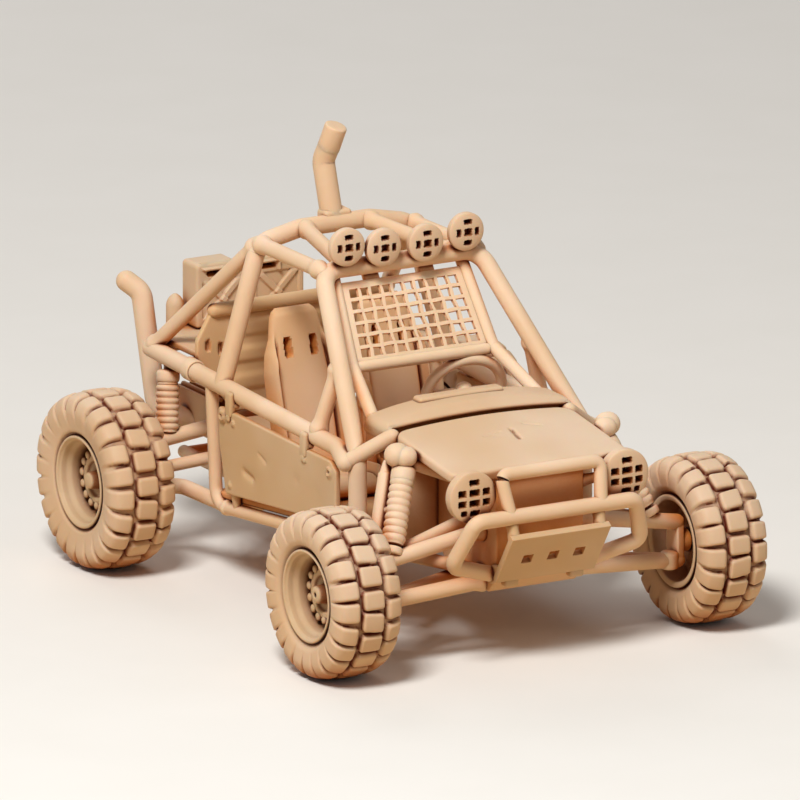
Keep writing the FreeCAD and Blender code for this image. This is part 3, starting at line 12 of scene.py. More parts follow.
import bpy
import numpy as np
from mathutils import Matrix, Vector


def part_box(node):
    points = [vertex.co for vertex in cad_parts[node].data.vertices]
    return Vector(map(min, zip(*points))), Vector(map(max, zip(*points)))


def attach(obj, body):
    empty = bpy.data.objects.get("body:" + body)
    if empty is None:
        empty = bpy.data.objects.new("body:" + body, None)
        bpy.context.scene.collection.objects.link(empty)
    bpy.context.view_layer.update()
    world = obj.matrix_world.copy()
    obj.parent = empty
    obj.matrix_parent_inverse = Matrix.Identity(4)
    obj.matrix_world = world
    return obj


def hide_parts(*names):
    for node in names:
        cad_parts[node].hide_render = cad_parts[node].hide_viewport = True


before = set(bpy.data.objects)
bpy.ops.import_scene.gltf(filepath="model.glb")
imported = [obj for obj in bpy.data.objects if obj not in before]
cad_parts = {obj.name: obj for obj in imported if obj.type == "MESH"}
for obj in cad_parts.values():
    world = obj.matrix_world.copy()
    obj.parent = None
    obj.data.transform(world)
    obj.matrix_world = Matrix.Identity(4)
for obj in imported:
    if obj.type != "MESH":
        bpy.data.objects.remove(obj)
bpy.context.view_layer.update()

# %% [markdown]
# ## Working units
# The drawings are in millimetres with y counted from the front axle, so a wheel centre is an easy
# number to remember. Blender wants metres from the model's middle, so every piece is converted in
# one place, when its mesh is made. The print shows the front axle's place in the solids.

# %% Units
MM = 0.001
FRONT_AXLE_Y = -35.25
WHEELBASE = 65.24
CHASSIS = "chassis"
tyre_low, tyre_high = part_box("tyre_front_left")
print("front axle in the solids, mm:", round((tyre_low[1] + tyre_high[1]) / 2 / MM, 2))

# %% [markdown]
# ## Parts and pieces
# A part is a set of points and of the faces that join them. Parts can be put together, or mirrored,
# before they become one Blender mesh. The mesh goes in as whole arrays, which is much faster than
# adding points one at a time, and its object stays at the origin.

# %% Join parts and make pieces
placed = {}


def merge(*parts):
    """Joins (points, quads, triangles) sets: later face numbers shift by the points before them."""
    points, quads, tris, shift = [], [], [], 0
    for some_points, some_quads, some_tris in parts:
        points.append(some_points)
        quads.append(np.asarray(some_quads, int).reshape(-1, 4) + shift)
        tris.append(np.asarray(some_tris, int).reshape(-1, 3) + shift)
        shift += len(some_points)
    return np.concatenate(points), np.concatenate(quads), np.concatenate(tris)


def mirror(part):
    """The same part on the other side of the car: x changes sign and each face turns round."""
    points, quads, tris = part
    return points * (-1, 1, 1), quads[:, ::-1], tris[:, ::-1]


def both(part):
    """A part together with its mirror image."""
    return merge(part, mirror(part))


def finish_piece(name, part, material, body=CHASSIS, sharp=40.0):
    """Turns a part into a smooth-shaded object that rides on a body and stands for its CAD node."""
    points, quads, tris = part
    points = (points + (0, FRONT_AXLE_Y, 0)) * MM
    mesh = bpy.data.meshes.new(name)
    mesh.vertices.add(len(points))
    mesh.vertices.foreach_set("co", points.ravel())
    mesh.loops.add(4 * len(quads) + 3 * len(tris))
    mesh.loops.foreach_set("vertex_index", np.concatenate([quads.ravel(), tris.ravel()]))
    mesh.polygons.add(len(quads) + len(tris))
    starts = np.concatenate([np.arange(len(quads)) * 4, 4 * len(quads) + np.arange(len(tris)) * 3])
    mesh.polygons.foreach_set("loop_start", starts)
    mesh.update(calc_edges=True)
    mesh.validate()
    mesh.polygons.foreach_set("use_smooth", np.ones(len(mesh.polygons), bool))
    mesh.set_sharp_from_angle(angle=math.radians(sharp))
    piece = bpy.data.objects.new(name, mesh)
    bpy.context.scene.collection.objects.link(piece)
    mesh.materials.append(material)
    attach(piece, body)
    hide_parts(name)
    placed[name] = len(quads) * 2 + len(tris)
    return piece


def finish_pair(name, part, material):
    """One piece for the left side and, mirrored, one for the right side."""
    finish_piece(name + "_left", part, material)
    finish_piece(name + "_right", mirror(part), material)


print("solids to dress:", len(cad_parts))

# %% [markdown]
# ## Surfaces from grids
# Nearly every piece is a grid of points bent into shape: a tube is a ring carried along a path, a
# turned piece is a ring carried along its axis, and a plate is its outline carried inwards. One
# helper links the grid's neighbours with faces, and closes the first and last ring to a point.

# %% Grid helpers
def grid_faces(rows, columns, wrap_rows=False):
    """Joins each grid point to its neighbours; every row closes on itself."""
    row = np.arange(rows if wrap_rows else rows - 1)
    a, b = np.meshgrid(row, np.arange(columns), indexing="ij")
    a, b = a.ravel(), b.ravel()
    next_a, next_b = (a + 1) % rows, (b + 1) % columns
    return np.stack([a * columns + b, a * columns + next_b,
                     next_a * columns + next_b, next_a * columns + b], axis=1)


def outward(part):
    """Turns all faces round if the enclosed volume, a sum of corner products, is negative."""
    points, quads, tris = part
    all_tris = np.concatenate([quads[:, [0, 1, 2]], quads[:, [0, 2, 3]], tris])
    centred = points - points.mean(axis=0)
    a, b, c = (centred[all_tris[:, k]] for k in range(3))
    volume = np.einsum("ij,ij->i", a, np.cross(b, c)).sum()
    if volume < 0:
        return points, quads[:, ::-1], tris[:, ::-1]
    return part


def closed_surface(rings):
    """Rings of points (rows, columns, 3) skinned with faces, each end closed to its middle."""
    rows, columns = rings.shape[:2]
    points = rings.reshape(-1, 3)
    first, last = len(points), len(points) + 1
    points = np.concatenate([points, rings[:1].mean(axis=1), rings[-1:].mean(axis=1)])
    around = np.arange(columns)
    after = (around + 1) % columns
    base = (rows - 1) * columns
    start_fan = np.stack([np.full(columns, first), after, around], axis=1)
    end_fan = np.stack([np.full(columns, last), base + around, base + after], axis=1)
    return outward((points, grid_faces(rows, columns), np.concatenate([start_fan, end_fan])))


def ring_surface(rings):
    """Rings that also join the last to the first, as round a tyre or a hoop."""
    rows, columns = rings.shape[:2]
    return outward((rings.reshape(-1, 3), grid_faces(rows, columns, wrap_rows=True),
                    np.zeros((0, 3), int)))


print("a grid of 3 x 4 points has", len(grid_faces(3, 4)), "faces")

# %% [markdown]
# ## Directions and soft steps
# Two small helpers serve everywhere: one makes a direction one long, and the other is the soft step
# that rounds the rim of every slot, boss and lug.

# %% Unit vectors and soft steps
def unit(vectors):
    """Each vector divided by its length."""
    vectors = np.asarray(vectors, float)
    return vectors / np.maximum(np.linalg.norm(vectors, axis=-1, keepdims=True), 1e-12)


def ease(values):
    """A soft step: 3t^2 - 2t^3 between 0 and 1, flat outside."""
    t = np.clip(values, 0.0, 1.0)
    return t * t * (3 - 2 * t)


def axes_for(direction):
    """A direction as a unit vector, and two more square to it and to each other."""
    direction = unit(direction)
    helper = np.array((0, 0, 1.0)) if abs(direction[2]) < 0.9 else np.array((0, 1.0, 0))
    side = unit(np.cross(helper, direction))
    return direction, side, np.cross(direction, side)


def lengths_along(points):
    """How far along a line each of its points lies."""
    return np.concatenate([[0], np.cumsum(np.linalg.norm(np.diff(points, axis=0), axis=1))])


print("soft step at a quarter:", round(float(ease(0.25)), 3))

# %% [markdown]
# ## Tubes
# A welded buggy frame is bent round tube. On the resin model each joint has a small soft fillet,
# because the master was printed or cast in one piece. A ring is carried along a path of straight
# runs and arcs, and its radius grows a little where the tube runs into another one. A curve object
# with a bevel would do the bends, but not that growth.
#
# The path comes first. A straight run needs few rings, and a fillet or a bend needs many, so the
# rings stand close together only there.

# %% Tube path
ARC_STEP, RUN_STEP = 0.5, 1.5
FILLET_ZONE, FILLET_RINGS, FILLET_REACH = 2.4, 6, 0.8
CLOSEST_RINGS = 0.02


def rounded_path(corners, bend):
    """Straight runs joined by arcs that leave each run at bend / tan(half the corner's angle)."""
    corners = np.asarray(corners, float)
    pieces = [corners[:1]]
    for before, corner, after in zip(corners, corners[1:], corners[2:]):
        to_before, to_after = unit(before - corner), unit(after - corner)
        half = math.acos(np.clip(to_before @ to_after, -1, 1)) / 2
        centre = corner + unit(to_before + to_after) * bend / math.sin(half)
        reach = bend / math.tan(half)
        first, last = corner + to_before * reach - centre, corner + to_after * reach - centre
        sweep = math.pi - 2 * half
        share = np.linspace(0, 1, max(6, int(sweep * bend / ARC_STEP) + 2))[:, None]
        arc = (first * np.sin((1 - share) * sweep) + last * np.sin(share * sweep)) / math.sin(sweep)
        pieces.append(centre + arc)
    pieces.append(corners[-1:])
    rough = np.concatenate(pieces)
    rough = rough[np.concatenate([[True], np.linalg.norm(np.diff(rough, axis=0), axis=1) > 1e-6])]
    along = lengths_along(rough)
    whole = along[-1]
    near_end = np.linspace(0, min(FILLET_ZONE, whole / 2), FILLET_RINGS)
    evenly = np.linspace(0, whole, int(whole / RUN_STEP) + 2)
    marks = np.unique(np.concatenate([along, near_end, evenly, whole - near_end]))
    marks = marks[np.concatenate([[True], np.diff(marks) > CLOSEST_RINGS])]
    return np.stack([np.interp(marks, along, rough[:, k]) for k in range(3)], axis=1)


print("rings on a 20 mm tube:", len(rounded_path([(0, 0, 0), (20, 0, 0)], 1.0)))

# %% [markdown]
# ## The tube itself
# Each ring stands square to the path. Its two directions come from one fixed vector that no tube
# runs along, so a tube never twists.

# %% Tube helper
def tube(corners, radius, bend=1.0, sides=28, fillets=(0.0, 0.0), round_ends=True):
    """A round tube: path + radius * (side cos a + up sin a), with half-ball or flat ends.

    The radius swells by a fillet times exp(-(distance / 0.8)^2) at each end.
    """
    path = rounded_path(corners, bend)
    along = lengths_along(path)
    radii = radius + fillets[0] * np.exp(-((along - radius) / FILLET_REACH) ** 2)
    radii += fillets[1] * np.exp(-((along[-1] - along - radius) / FILLET_REACH) ** 2)
    tangent = unit(np.gradient(path, axis=0))
    if round_ends:
        turn = np.linspace(0.12, math.pi / 2, 7)[:-1, None]
        start = path[0] - tangent[0] * radius * np.cos(turn)
        end = path[-1] + tangent[-1] * radius * np.cos(turn[::-1])
        caps = radius * np.sin(turn[:, 0])
        path = np.concatenate([start, path, end])
        radii = np.concatenate([caps, radii, caps[::-1]])
        tangent = np.concatenate([np.repeat(tangent[:1], len(turn), 0), tangent,
                                  np.repeat(tangent[-1:], len(turn), 0)])
    never_along_a_tube = (0.31, 0.17, 0.93)
    side = unit(np.cross(tangent, never_along_a_tube))
    up = np.cross(side, tangent)
    angle = np.linspace(0, 2 * math.pi, sides, endpoint=False)
    ring = side[:, None] * np.cos(angle)[:, None] + up[:, None] * np.sin(angle)[:, None]
    return closed_surface(path[:, None] + radii[:, None, None] * ring)


print("points on a 20 mm tube:", len(tube([(0, 0, 0), (20, 0, 0)], 1.0)[0]))

# %% [markdown]
# ## Turned pieces
# Lamps, rims, bosses and caps are turned: a half outline goes once round an axis. The outline is
# drawn with sharp corners, and one helper rounds them all, because no edge of a casting is sharp.

# %% Turning helpers
def turned(profile, origin, direction, sides=48):
    """Carries (distance along the axis, radius) pairs once round the axis."""
    profile = np.asarray(profile, float)
    axis, side, up = axes_for(direction)
    angle = np.linspace(0, 2 * math.pi, sides, endpoint=False)[:, None]
    ring = side * np.cos(angle) + up * np.sin(angle)
    rings = (np.asarray(origin, float) + profile[:, :1, None] * axis
             + profile[:, 1:, None] * ring[None])
    return closed_surface(rings)


def softened(profile, radius, steps=5):
    """Replaces each corner of a half outline by a short quadratic curve of the given reach."""
    profile = np.asarray(profile, float)
    share = np.linspace(0, 1, steps)[:, None]
    pieces = [profile[:1]]
    for before, corner, after in zip(profile, profile[1:], profile[2:]):
        into, out = before - corner, after - corner
        near = min(radius, 0.45 * np.linalg.norm(into), 0.45 * np.linalg.norm(out))
        first, last = corner + unit(into) * near, corner + unit(out) * near
        pieces.append((1 - share) ** 2 * first + 2 * share * (1 - share) * corner + share ** 2 * last)
    pieces.append(profile[-1:])
    return np.concatenate(pieces)


def barrel(low, high, radius, round_by=0.35, sides=36):
    """A cylinder with rolled ends between two points."""
    low, high = np.asarray(low, float), np.asarray(high, float)
    length = np.linalg.norm(high - low)
    profile = softened([(0.0, 0.02), (0.0, radius), (length, radius), (length, 0.02)], round_by)
    return turned(profile, low, unit(high - low), sides=sides)


print("points on a barrel's half outline:", len(softened([(0, 0), (0, 1), (2, 1), (2, 0)], 0.3)))

# %% [markdown]
# ## Soft blocks
# Tabs, covers and humps are boxes with rolled edges. A cube with a bevel would do, but one formula
# is enough: a ball is cut into its eight octants, and each is pushed out to its own corner.

# %% Block helper
def block(low, high, radius=0.3, steps=4):
    """A box with ball-rounded edges: inner corner + radius * direction, for each octant."""
    low, high = np.asarray(low, float), np.asarray(high, float)
    half = (high - low) / 2
    radius = min(radius, half.min() * 0.98)
    quarter = np.linspace(0, math.pi / 2, steps + 1)
    lon = np.concatenate([quarter + k * math.pi / 2 for k in range(4)])[None, :]
    lat = np.concatenate([quarter - math.pi / 2, quarter])[1:-1][:, None]
    left, rear = (np.repeat(signs, steps + 1)[None, :] for signs in ((1, -1, -1, 1), (1, 1, -1, -1)))
    above = np.where(np.arange(1, 2 * steps + 1) <= steps, -1, 1)[:, None]
    corner = np.stack(np.broadcast_arrays(left, rear, above), axis=2)
    direction = np.stack([np.cos(lat) * np.cos(lon), np.cos(lat) * np.sin(lon),
                          np.sin(lat) + 0 * lon], axis=2)
    rings = corner * (half - radius) + radius * direction
    ends = rings[[0, -1]].copy()
    ends[..., :2] = (corner * (half - radius))[[0, -1], :, :2]
    ends[0, :, 2], ends[1, :, 2] = -half[2], half[2]
    return closed_surface(np.concatenate([ends[:1], rings, ends[1:]]) + (low + high) / 2)


print("points on a soft block:", len(block((0, 0, 0), (4, 3, 2))[0]))

# %% [markdown]
# ## Outlines
# The hood, deck, floor, armour and cans are plates with rolled edges. A plate starts from a flat
# outline, whose corners are rounded as on sheet that has been cut and filed.

# %% Outline helper
def rounded_outline(corners, radius, spacing=0.35):
    """A closed polygon with arcs at its corners, sampled at equal steps."""
    corners = np.asarray(corners, float)
    before, after = np.roll(corners, 1, axis=0), np.roll(corners, -1, axis=0)
    share = np.linspace(0, 1, 9)[:, None]
    pieces = []
    for prior, corner, following in zip(before, corners, after):
        into, out = unit(prior - corner), unit(following - corner)
        half = math.acos(np.clip(into @ out, -1, 1)) / 2
        reach = min(radius / math.tan(half), 0.45 * np.linalg.norm(prior - corner),
                    0.45 * np.linalg.norm(following - corner))
        first, last = corner + into * reach, corner + out * reach
        pieces.append((1 - share) ** 2 * first + 2 * share * (1 - share) * corner
                      + share ** 2 * last)
    loop = np.concatenate(pieces)
    loop = np.concatenate([loop, loop[:1]])
    along = lengths_along(loop)
    marks = np.linspace(0, along[-1], int(along[-1] / spacing) + 8, endpoint=False)
    return np.stack([np.interp(marks, along, loop[:, k]) for k in range(2)], axis=1)


print("points round a 10 mm square:", len(rounded_outline([(0, 0), (10, 0), (10, 10), (0, 10)], 1.0)))

# %% [markdown]
# ## Plates
# A plate could be a filled face with Solidify and Bevel, but such a face has no points inside it to
# dent. So the outline is carried inwards in rings, and the top and the bottom can be arched, dented
# or grooved by a formula.

# %% Plate helper
def plate(outline, top, bottom, edge, place, rings=14, hub=None, under=4):
    """A plate from its outline: rings shrink to the middle above, roll over the edge, and return.

    top and bottom are heights, or functions of (a, b); place turns (a, b, height) into points.
    The plain underside has only a few rings.
    """
    following, prior = np.roll(outline, -1, axis=0), np.roll(outline, 1, axis=0)
    tangent = unit(following - prior)
    inward = np.stack([-tangent[:, 1], tangent[:, 0]], axis=1)
    middle = outline.mean(axis=0) if hub is None else np.asarray(hub, float)
    if np.einsum("ij,ij->", inward, middle - outline) < 0:
        inward = -inward
    inset = outline + inward * edge
    disc, base = (middle + (inset - middle) * np.linspace(0, 1, count + 1)[1:, None, None]
                  for count in (rings, min(rings, under)))
    turn = np.linspace(0, math.pi / 2, 6)[1:, None, None]
    lip = outline + inward * edge * (1 - np.sin(turn))
    drop = edge * (1 - np.cos(turn))[..., 0]

    def heights(rule, flat):
        """The rule's value at each point, or the same height everywhere."""
        return rule(flat[..., 0], flat[..., 1]) if callable(rule) else np.full(flat.shape[:-1], rule)

    layers = [np.dstack([disc, heights(top, disc)]), np.dstack([lip, heights(top, lip) - drop]),
              np.dstack([lip, heights(bottom, lip) + drop])[::-1],
              np.dstack([base, heights(bottom, base)])[::-1]]
    flat = np.concatenate(layers)
    return closed_surface(place(flat[..., 0], flat[..., 1], flat[..., 2]))


test_square = rounded_outline([(0, 0), (10, 0), (10, 10), (0, 10)], 1.0)
print("points on a square plate:", len(plate(test_square, 1, 0, 0.2, lambda *flat: np.dstack(flat))[0]))

# %% [markdown]
# ## Which way a plate faces
# A plate is drawn flat as (a, b) with a height above it. These rules lay it down, stand it along the
# car or across it, or tilt it. The piece's object can't be turned instead, because its place and its
# turn have to be in its mesh.

# %% Ways to place a plate
def in_plan(a, b, height):
    """a to the left, b along the car, height up."""
    return np.stack([a, b, height], axis=-1)


def in_side(a, b, height):
    """a along the car, b up, height across it."""
    return np.stack([height, a, b], axis=-1)


def in_cross(a, b, height):
    """a across the car, b up, height along it."""
    return np.stack([a, height, b], axis=-1)


def facing_forward(a, b, height):
    """a to the right, b up, height towards the nose."""
    return np.stack([-a, -height, b], axis=-1)


def plane_at(origin, along_a, along_b):
    """Turns (a, b, height) into points on a tilted plane, with height along its normal."""
    origin, along_a, along_b = (np.asarray(v, float) for v in (origin, along_a, along_b))
    normal = unit(np.cross(along_a, along_b))

    def place(a, b, height):
        """origin + a along the first way + b along the second + height along the normal."""
        return (origin + a[..., None] * along_a + b[..., None] * along_b
                + height[..., None] * normal)
    return place


def leaned(part, degrees, origin):
    """Turns a part about X and sets it at origin."""
    points, quads, tris = part
    c, s = math.cos(math.radians(degrees)), math.sin(math.radians(degrees))
    swung = np.stack([points[:, 0], points[:, 1] * c - points[:, 2] * s,
                      points[:, 1] * s + points[:, 2] * c], axis=1)
    return swung + np.asarray(origin, float), quads, tris


print("a point one up, leaned by 90 degrees:",
      leaned((np.array([[0.0, 0.0, 1.0]]), None, None), 90.0, (0, 0, 0))[0].round(2).tolist())


# %% [markdown]
# ## Marks and masks
# A dent, a scratch or a slot is a formula of place that is taken off a face's height. Real depth is
# better than a painted mark, because it still shows from the side and in the exported mesh.

# %% Dents, scratches and rounded boxes
def dent(a, b, centre, reach, depth):
    """A soft hollow: depth * exp(-distance^2 / reach^2)."""
    return depth * np.exp(-(((a - centre[0]) / reach[0]) ** 2 + ((b - centre[1]) / reach[1]) ** 2))


def scratch(a, b, start, end, width, depth):
    """A groove along a line: depth * exp(-distance to the line^2 / width^2)."""
    start, end = np.asarray(start, float), np.asarray(end, float)
    run = end - start
    share = np.clip(((a - start[0]) * run[0] + (b - start[1]) * run[1]) / (run @ run), 0, 1)
    away = (a - start[0] - share * run[0]) ** 2 + (b - start[1] - share * run[1]) ** 2
    return depth * np.exp(-away / width ** 2)


def rounded_box(u, v, half_u, half_v, corner):
    """Signed distance to a rounded rectangle: positive outside, negative inside."""
    far_u, far_v = np.abs(u) - half_u + corner, np.abs(v) - half_v + corner
    outside = np.hypot(np.maximum(far_u, 0), np.maximum(far_v, 0))
    return outside + np.minimum(np.maximum(far_u, far_v), 0) - corner


print("distance from a 2 x 2 square's centre to its edge:", float(rounded_box(0, 0, 1, 1, 0.2)))

# %% [markdown]
# ## The resin
# Cast resin is one pale, warm colour, matte, with a faint silk on high spots. Light goes a little
# way in under the surface; narrow gaps are painted red-brown and hollows orange as shade, while open
# faces stay pale.
# A picture could be painted on, but then every piece would need one. Here all the finishes share one
# node group, which works on any shape. These helpers keep the node code short.

# %% Node helpers
def new_group(name, inputs, outputs):
    """A shader node group with named sockets."""
    group = bpy.data.node_groups.new(name, "ShaderNodeTree")
    for direction, sockets in (("INPUT", inputs), ("OUTPUT", outputs)):
        for label, kind, default in sockets:
            socket = group.interface.new_socket(label, in_out=direction, socket_type=kind)
            if default is not None:
                socket.default_value = default
    return group, group.nodes.new("NodeGroupInput"), group.nodes.new("NodeGroupOutput")


def add_node(tree, kind, links=None, **settings):
    """Adds a node; each entry of links is either a socket to read or a plain value."""
    node = tree.nodes.new(kind)
    for key, value in settings.items():
        setattr(node, key, value)
    for socket, source in (links or {}).items():
        if isinstance(source, bpy.types.NodeSocket):
            tree.links.new(source, node.inputs[socket])
        else:
            node.inputs[socket].default_value = source
    return node


def blend_colour(tree, factor, first, second):
    """first * (1 - factor) + second * factor."""
    return add_node(tree, "ShaderNodeMix", {0: factor, 6: first, 7: second},
                    data_type="RGBA").outputs[2]


def ramp(tree, source, low, high):
    """A smooth 0 to 1 mask between two input values."""
    return add_node(tree, "ShaderNodeMapRange", {0: source, 1: low, 2: high, 3: 0.0, 4: 1.0},
                    interpolation_type="SMOOTHSTEP").outputs[0]


def noise(tree, place, scale, detail=2.0, **more):
    """Cloudy noise, 0 to 1, with so many clouds to the metre."""
    return add_node(tree, "ShaderNodeTexNoise",
                    {"Vector": place, "Scale": scale, "Detail": detail, **more}).outputs[0]


print("node helpers are ready")

# %% [markdown]
# ## The cast resin group and its painted shade
# Two ambient occlusion lookups find where light can't reach: a near one finds gaps of about a
# millimetre, and a wide one finds the hollows between pieces. There the colour is painted as shade,
# red-brown in the gaps and orange in the hollows. Three noises give slow clouds, the mould's mottle
# and its fine grain. The group puts out a colour with this painted shade in it, a roughness and a
# height, and the shader itself stays in each material.

# %% Build the group
def cast_resin_group():
    """Resin, mixed by cloud and mottle, then towards the painted shade colours of hollows and crevices.
    """
    group, given, out = new_group(
        "cast resin",
        [("Resin", "NodeSocketColor", (0.8, 0.6, 0.4, 1)),
         ("Painted hollow shade", "NodeSocketColor", (0.6, 0.3, 0.1, 1)),
         ("Painted crevice shade", "NodeSocketColor", (0.2, 0.05, 0.02, 1)),
         ("Painted crevice shade reach", "NodeSocketFloat", 0.0006),
         ("Painted hollow shade reach", "NodeSocketFloat", 0.006),
         ("Grain", "NodeSocketFloat", 1.0)],
        [("Colour", "NodeSocketColor", None), ("Roughness", "NodeSocketFloat", None),
         ("Height", "NodeSocketFloat", None)])
    near, wide = (add_node(group, "ShaderNodeAmbientOcclusion",
                           {"Distance": given.outputs[reach]}, samples=8).outputs["AO"]
                  for reach in ("Painted crevice shade reach", "Painted hollow shade reach"))
    place = add_node(group, "ShaderNodeTexCoord").outputs["Object"]
    mottle = noise(group, place, 260.0, 3.0, Roughness=0.6)
    cloud = noise(group, place, 38.0)
    grit = noise(group, place, 3200.0)
    pale, deep = (add_node(group, "ShaderNodeHueSaturation",
                           {"Saturation": saturation, "Value": value,
                            "Color": given.outputs["Resin"]}).outputs[0]
                  for saturation, value in ((0.86, 1.06), (1.1, 0.94)))
    skin = blend_colour(group, ramp(group, cloud, 0.35, 0.65), deep, pale)
    skin = blend_colour(group, 0.12, skin,
                        blend_colour(group, ramp(group, mottle, 0.30, 0.72), deep, pale))
    # Painted shade: hollows found by the wide lookup turn orange, gaps found by the near one red-brown.
    skin = blend_colour(group, ramp(group, wide, 0.84, 0.26), skin, given.outputs["Painted hollow shade"])
    skin = blend_colour(group, ramp(group, near, 0.86, 0.36), skin, given.outputs["Painted crevice shade"])
    rough = add_node(group, "ShaderNodeMapRange", {0: mottle, 1: 0.3, 2: 0.7, 3: 0.5, 4: 0.66})
    grain = add_node(group, "ShaderNodeMath", {0: grit, 1: given.outputs["Grain"]},
                     operation="MULTIPLY")
    lumps = add_node(group, "ShaderNodeMath", {0: mottle, 1: 3.0, 2: grain.outputs[0]},
                     operation="MULTIPLY_ADD")
    group.links.new(skin, out.inputs["Colour"])
    group.links.new(rough.outputs[0], out.inputs["Roughness"])
    group.links.new(lumps.outputs[0], out.inputs["Height"])
    return group


RESIN_AND_SHADE_GROUP = cast_resin_group()
print("nodes in the cast resin group:", len(RESIN_AND_SHADE_GROUP.nodes))

# %% [markdown]
# ## One material from the group
# Each material states its own depth of colour, the colours of its painted shade, and how far the
# painted shade reaches into its gaps and hollows. Skin-like scattering of light under the surface
# softens the edges of the shade.

# %% Material helper
def srgb(red, green, blue):
    """Screen colour values turned linear: v^2.2 is near enough for a finish."""
    return (*[(v / 255) ** 2.2 for v in (red, green, blue)], 1.0)


def resin(name, colour, hollow, crevice, painted_crevice_reach=0.55, painted_hollow_reach=6.0, grain=1.0):
    """One finish of the cast resin with painted shade; reaches are in millimetres."""
    material = bpy.data.materials.new(name)
    material.use_nodes = True
    tree = material.node_tree
    shader = tree.nodes["Principled BSDF"]
    skin = add_node(tree, "ShaderNodeGroup", {}, node_tree=RESIN_AND_SHADE_GROUP)
    # hollow and crevice are the colours of the painted shade in hollows and in gaps.
    values = {"Resin": srgb(*colour), "Painted hollow shade": srgb(*hollow), "Painted crevice shade": srgb(*crevice),
              "Painted crevice shade reach": painted_crevice_reach * MM, "Painted hollow shade reach": painted_hollow_reach * MM,
              "Grain": grain}
    for socket, value in values.items():
        skin.inputs[socket].default_value = value
    bump = add_node(tree, "ShaderNodeBump", {"Height": skin.outputs["Height"],
                                             "Strength": 0.35, "Distance": 0.03 * MM})
    tree.links.new(skin.outputs["Colour"], shader.inputs["Base Color"])
    tree.links.new(skin.outputs["Roughness"], shader.inputs["Roughness"])
    tree.links.new(bump.outputs[0], shader.inputs["Normal"])
    shader.inputs["Specular IOR Level"].default_value = 0.35
    shader.inputs["IOR"].default_value = 1.5
    shader.inputs["Subsurface Weight"].default_value = 0.25
    shader.inputs["Subsurface Radius"].default_value = (1.0, 0.4, 0.16)
    shader.inputs["Subsurface Scale"].default_value = 0.7 * MM
    return material


print("a mid grey turned linear:", [round(v, 3) for v in srgb(128, 128, 128)[:3]])

# %% [markdown]
# ## The finishes
# It is one resin everywhere, with painted shade of different depths: deep in the tyres' grooves and
# the rims, strong and orange in the cabin's hollows, where bounced light would tint them, and hardly
# any on the net and the steering wheel, whose resin is also painted paler, as if lit. So there are
# nine depths of the same finish.

# %% Make the finishes
# Each finish: resin colour, then the painted shade colours of hollows and of gaps.
BODY_RESIN = resin("body resin", (226, 194, 162), (178, 108, 54), (92, 32, 18),
                   painted_crevice_reach=1.0, painted_hollow_reach=8.0)
TUBE_RESIN = resin("tube resin", (236, 204, 172), (206, 122, 56), (96, 34, 18),
                   painted_crevice_reach=1.0, painted_hollow_reach=7.0)
TYRE_RESIN = resin("tyre resin", (220, 188, 156), (184, 120, 74), (96, 30, 16),
                   painted_crevice_reach=1.1, painted_hollow_reach=5.0)
# Painted shade: the cabin's hollows are painted a strong orange.
CABIN_RESIN = resin("cabin resin", (222, 176, 128), (206, 110, 34), (84, 28, 10),
                    painted_crevice_reach=0.8, painted_hollow_reach=16.0)
RIM_RESIN = resin("rim resin", (212, 184, 150), (134, 78, 42), (48, 16, 10),
                  painted_crevice_reach=1.3, painted_hollow_reach=8.0)
WALL_RESIN = resin("wall resin", (224, 188, 146), (206, 122, 54), (104, 40, 18),
                   painted_crevice_reach=0.9, painted_hollow_reach=10.0)
SEAT_RESIN = resin("seat resin", (224, 186, 148), (212, 134, 68), (100, 36, 16),
                   painted_crevice_reach=0.8, painted_hollow_reach=10.0)
# Painted light: a paler resin with little painted shade, so the shaded steering wheel and net look lit.
BRIGHTENED_RESIN = resin("brightened resin", (248, 218, 188), (230, 156, 92), (110, 40, 20),
                   painted_crevice_reach=0.8, painted_hollow_reach=4.0)
PLATE_RESIN = resin("plate resin", (214, 182, 146), (190, 120, 62), (90, 32, 18),
                    painted_crevice_reach=0.7, grain=1.3)
print("finishes:", [finish.name for finish in bpy.data.materials if finish.name.endswith(" resin")])

# %% [markdown]
# ## Floor
# The photograph's backdrop is black; here a plain pale floor takes its place. It is a wide disc, so
# no edge of it shows. The camera and reflections see it pale, and the light that it throws back up
# is a little warm, as from the wooden table such a model usually stands on.

# %% Make the floor
FLOOR_REACH, FLOOR_RINGS, FLOOR_SIDES = 4000.0, 12, 72


def paper_material():
    """Pale paper with a faint cloud in it; only indirect light sees the warmer colour."""
    paper = bpy.data.materials.new("studio paper")
    paper.use_nodes = True
    tree = paper.node_tree
    shader = tree.nodes["Principled BSDF"]
    place = add_node(tree, "ShaderNodeTexCoord").outputs["Object"]
    tint = blend_colour(tree, noise(tree, place, 60.0), srgb(240, 238, 235), srgb(244, 242, 240))
    ray = add_node(tree, "ShaderNodeLightPath").outputs
    seen = add_node(tree, "ShaderNodeMath", {0: ray["Is Camera Ray"], 1: ray["Is Glossy Ray"]},
                    operation="MAXIMUM")
    tint = blend_colour(tree, seen.outputs[0], srgb(218, 188, 144), tint)
    tree.links.new(tint, shader.inputs["Base Color"])
    shader.inputs["Roughness"].default_value = 0.9
    shader.inputs["Specular IOR Level"].default_value = 0.1
    return paper


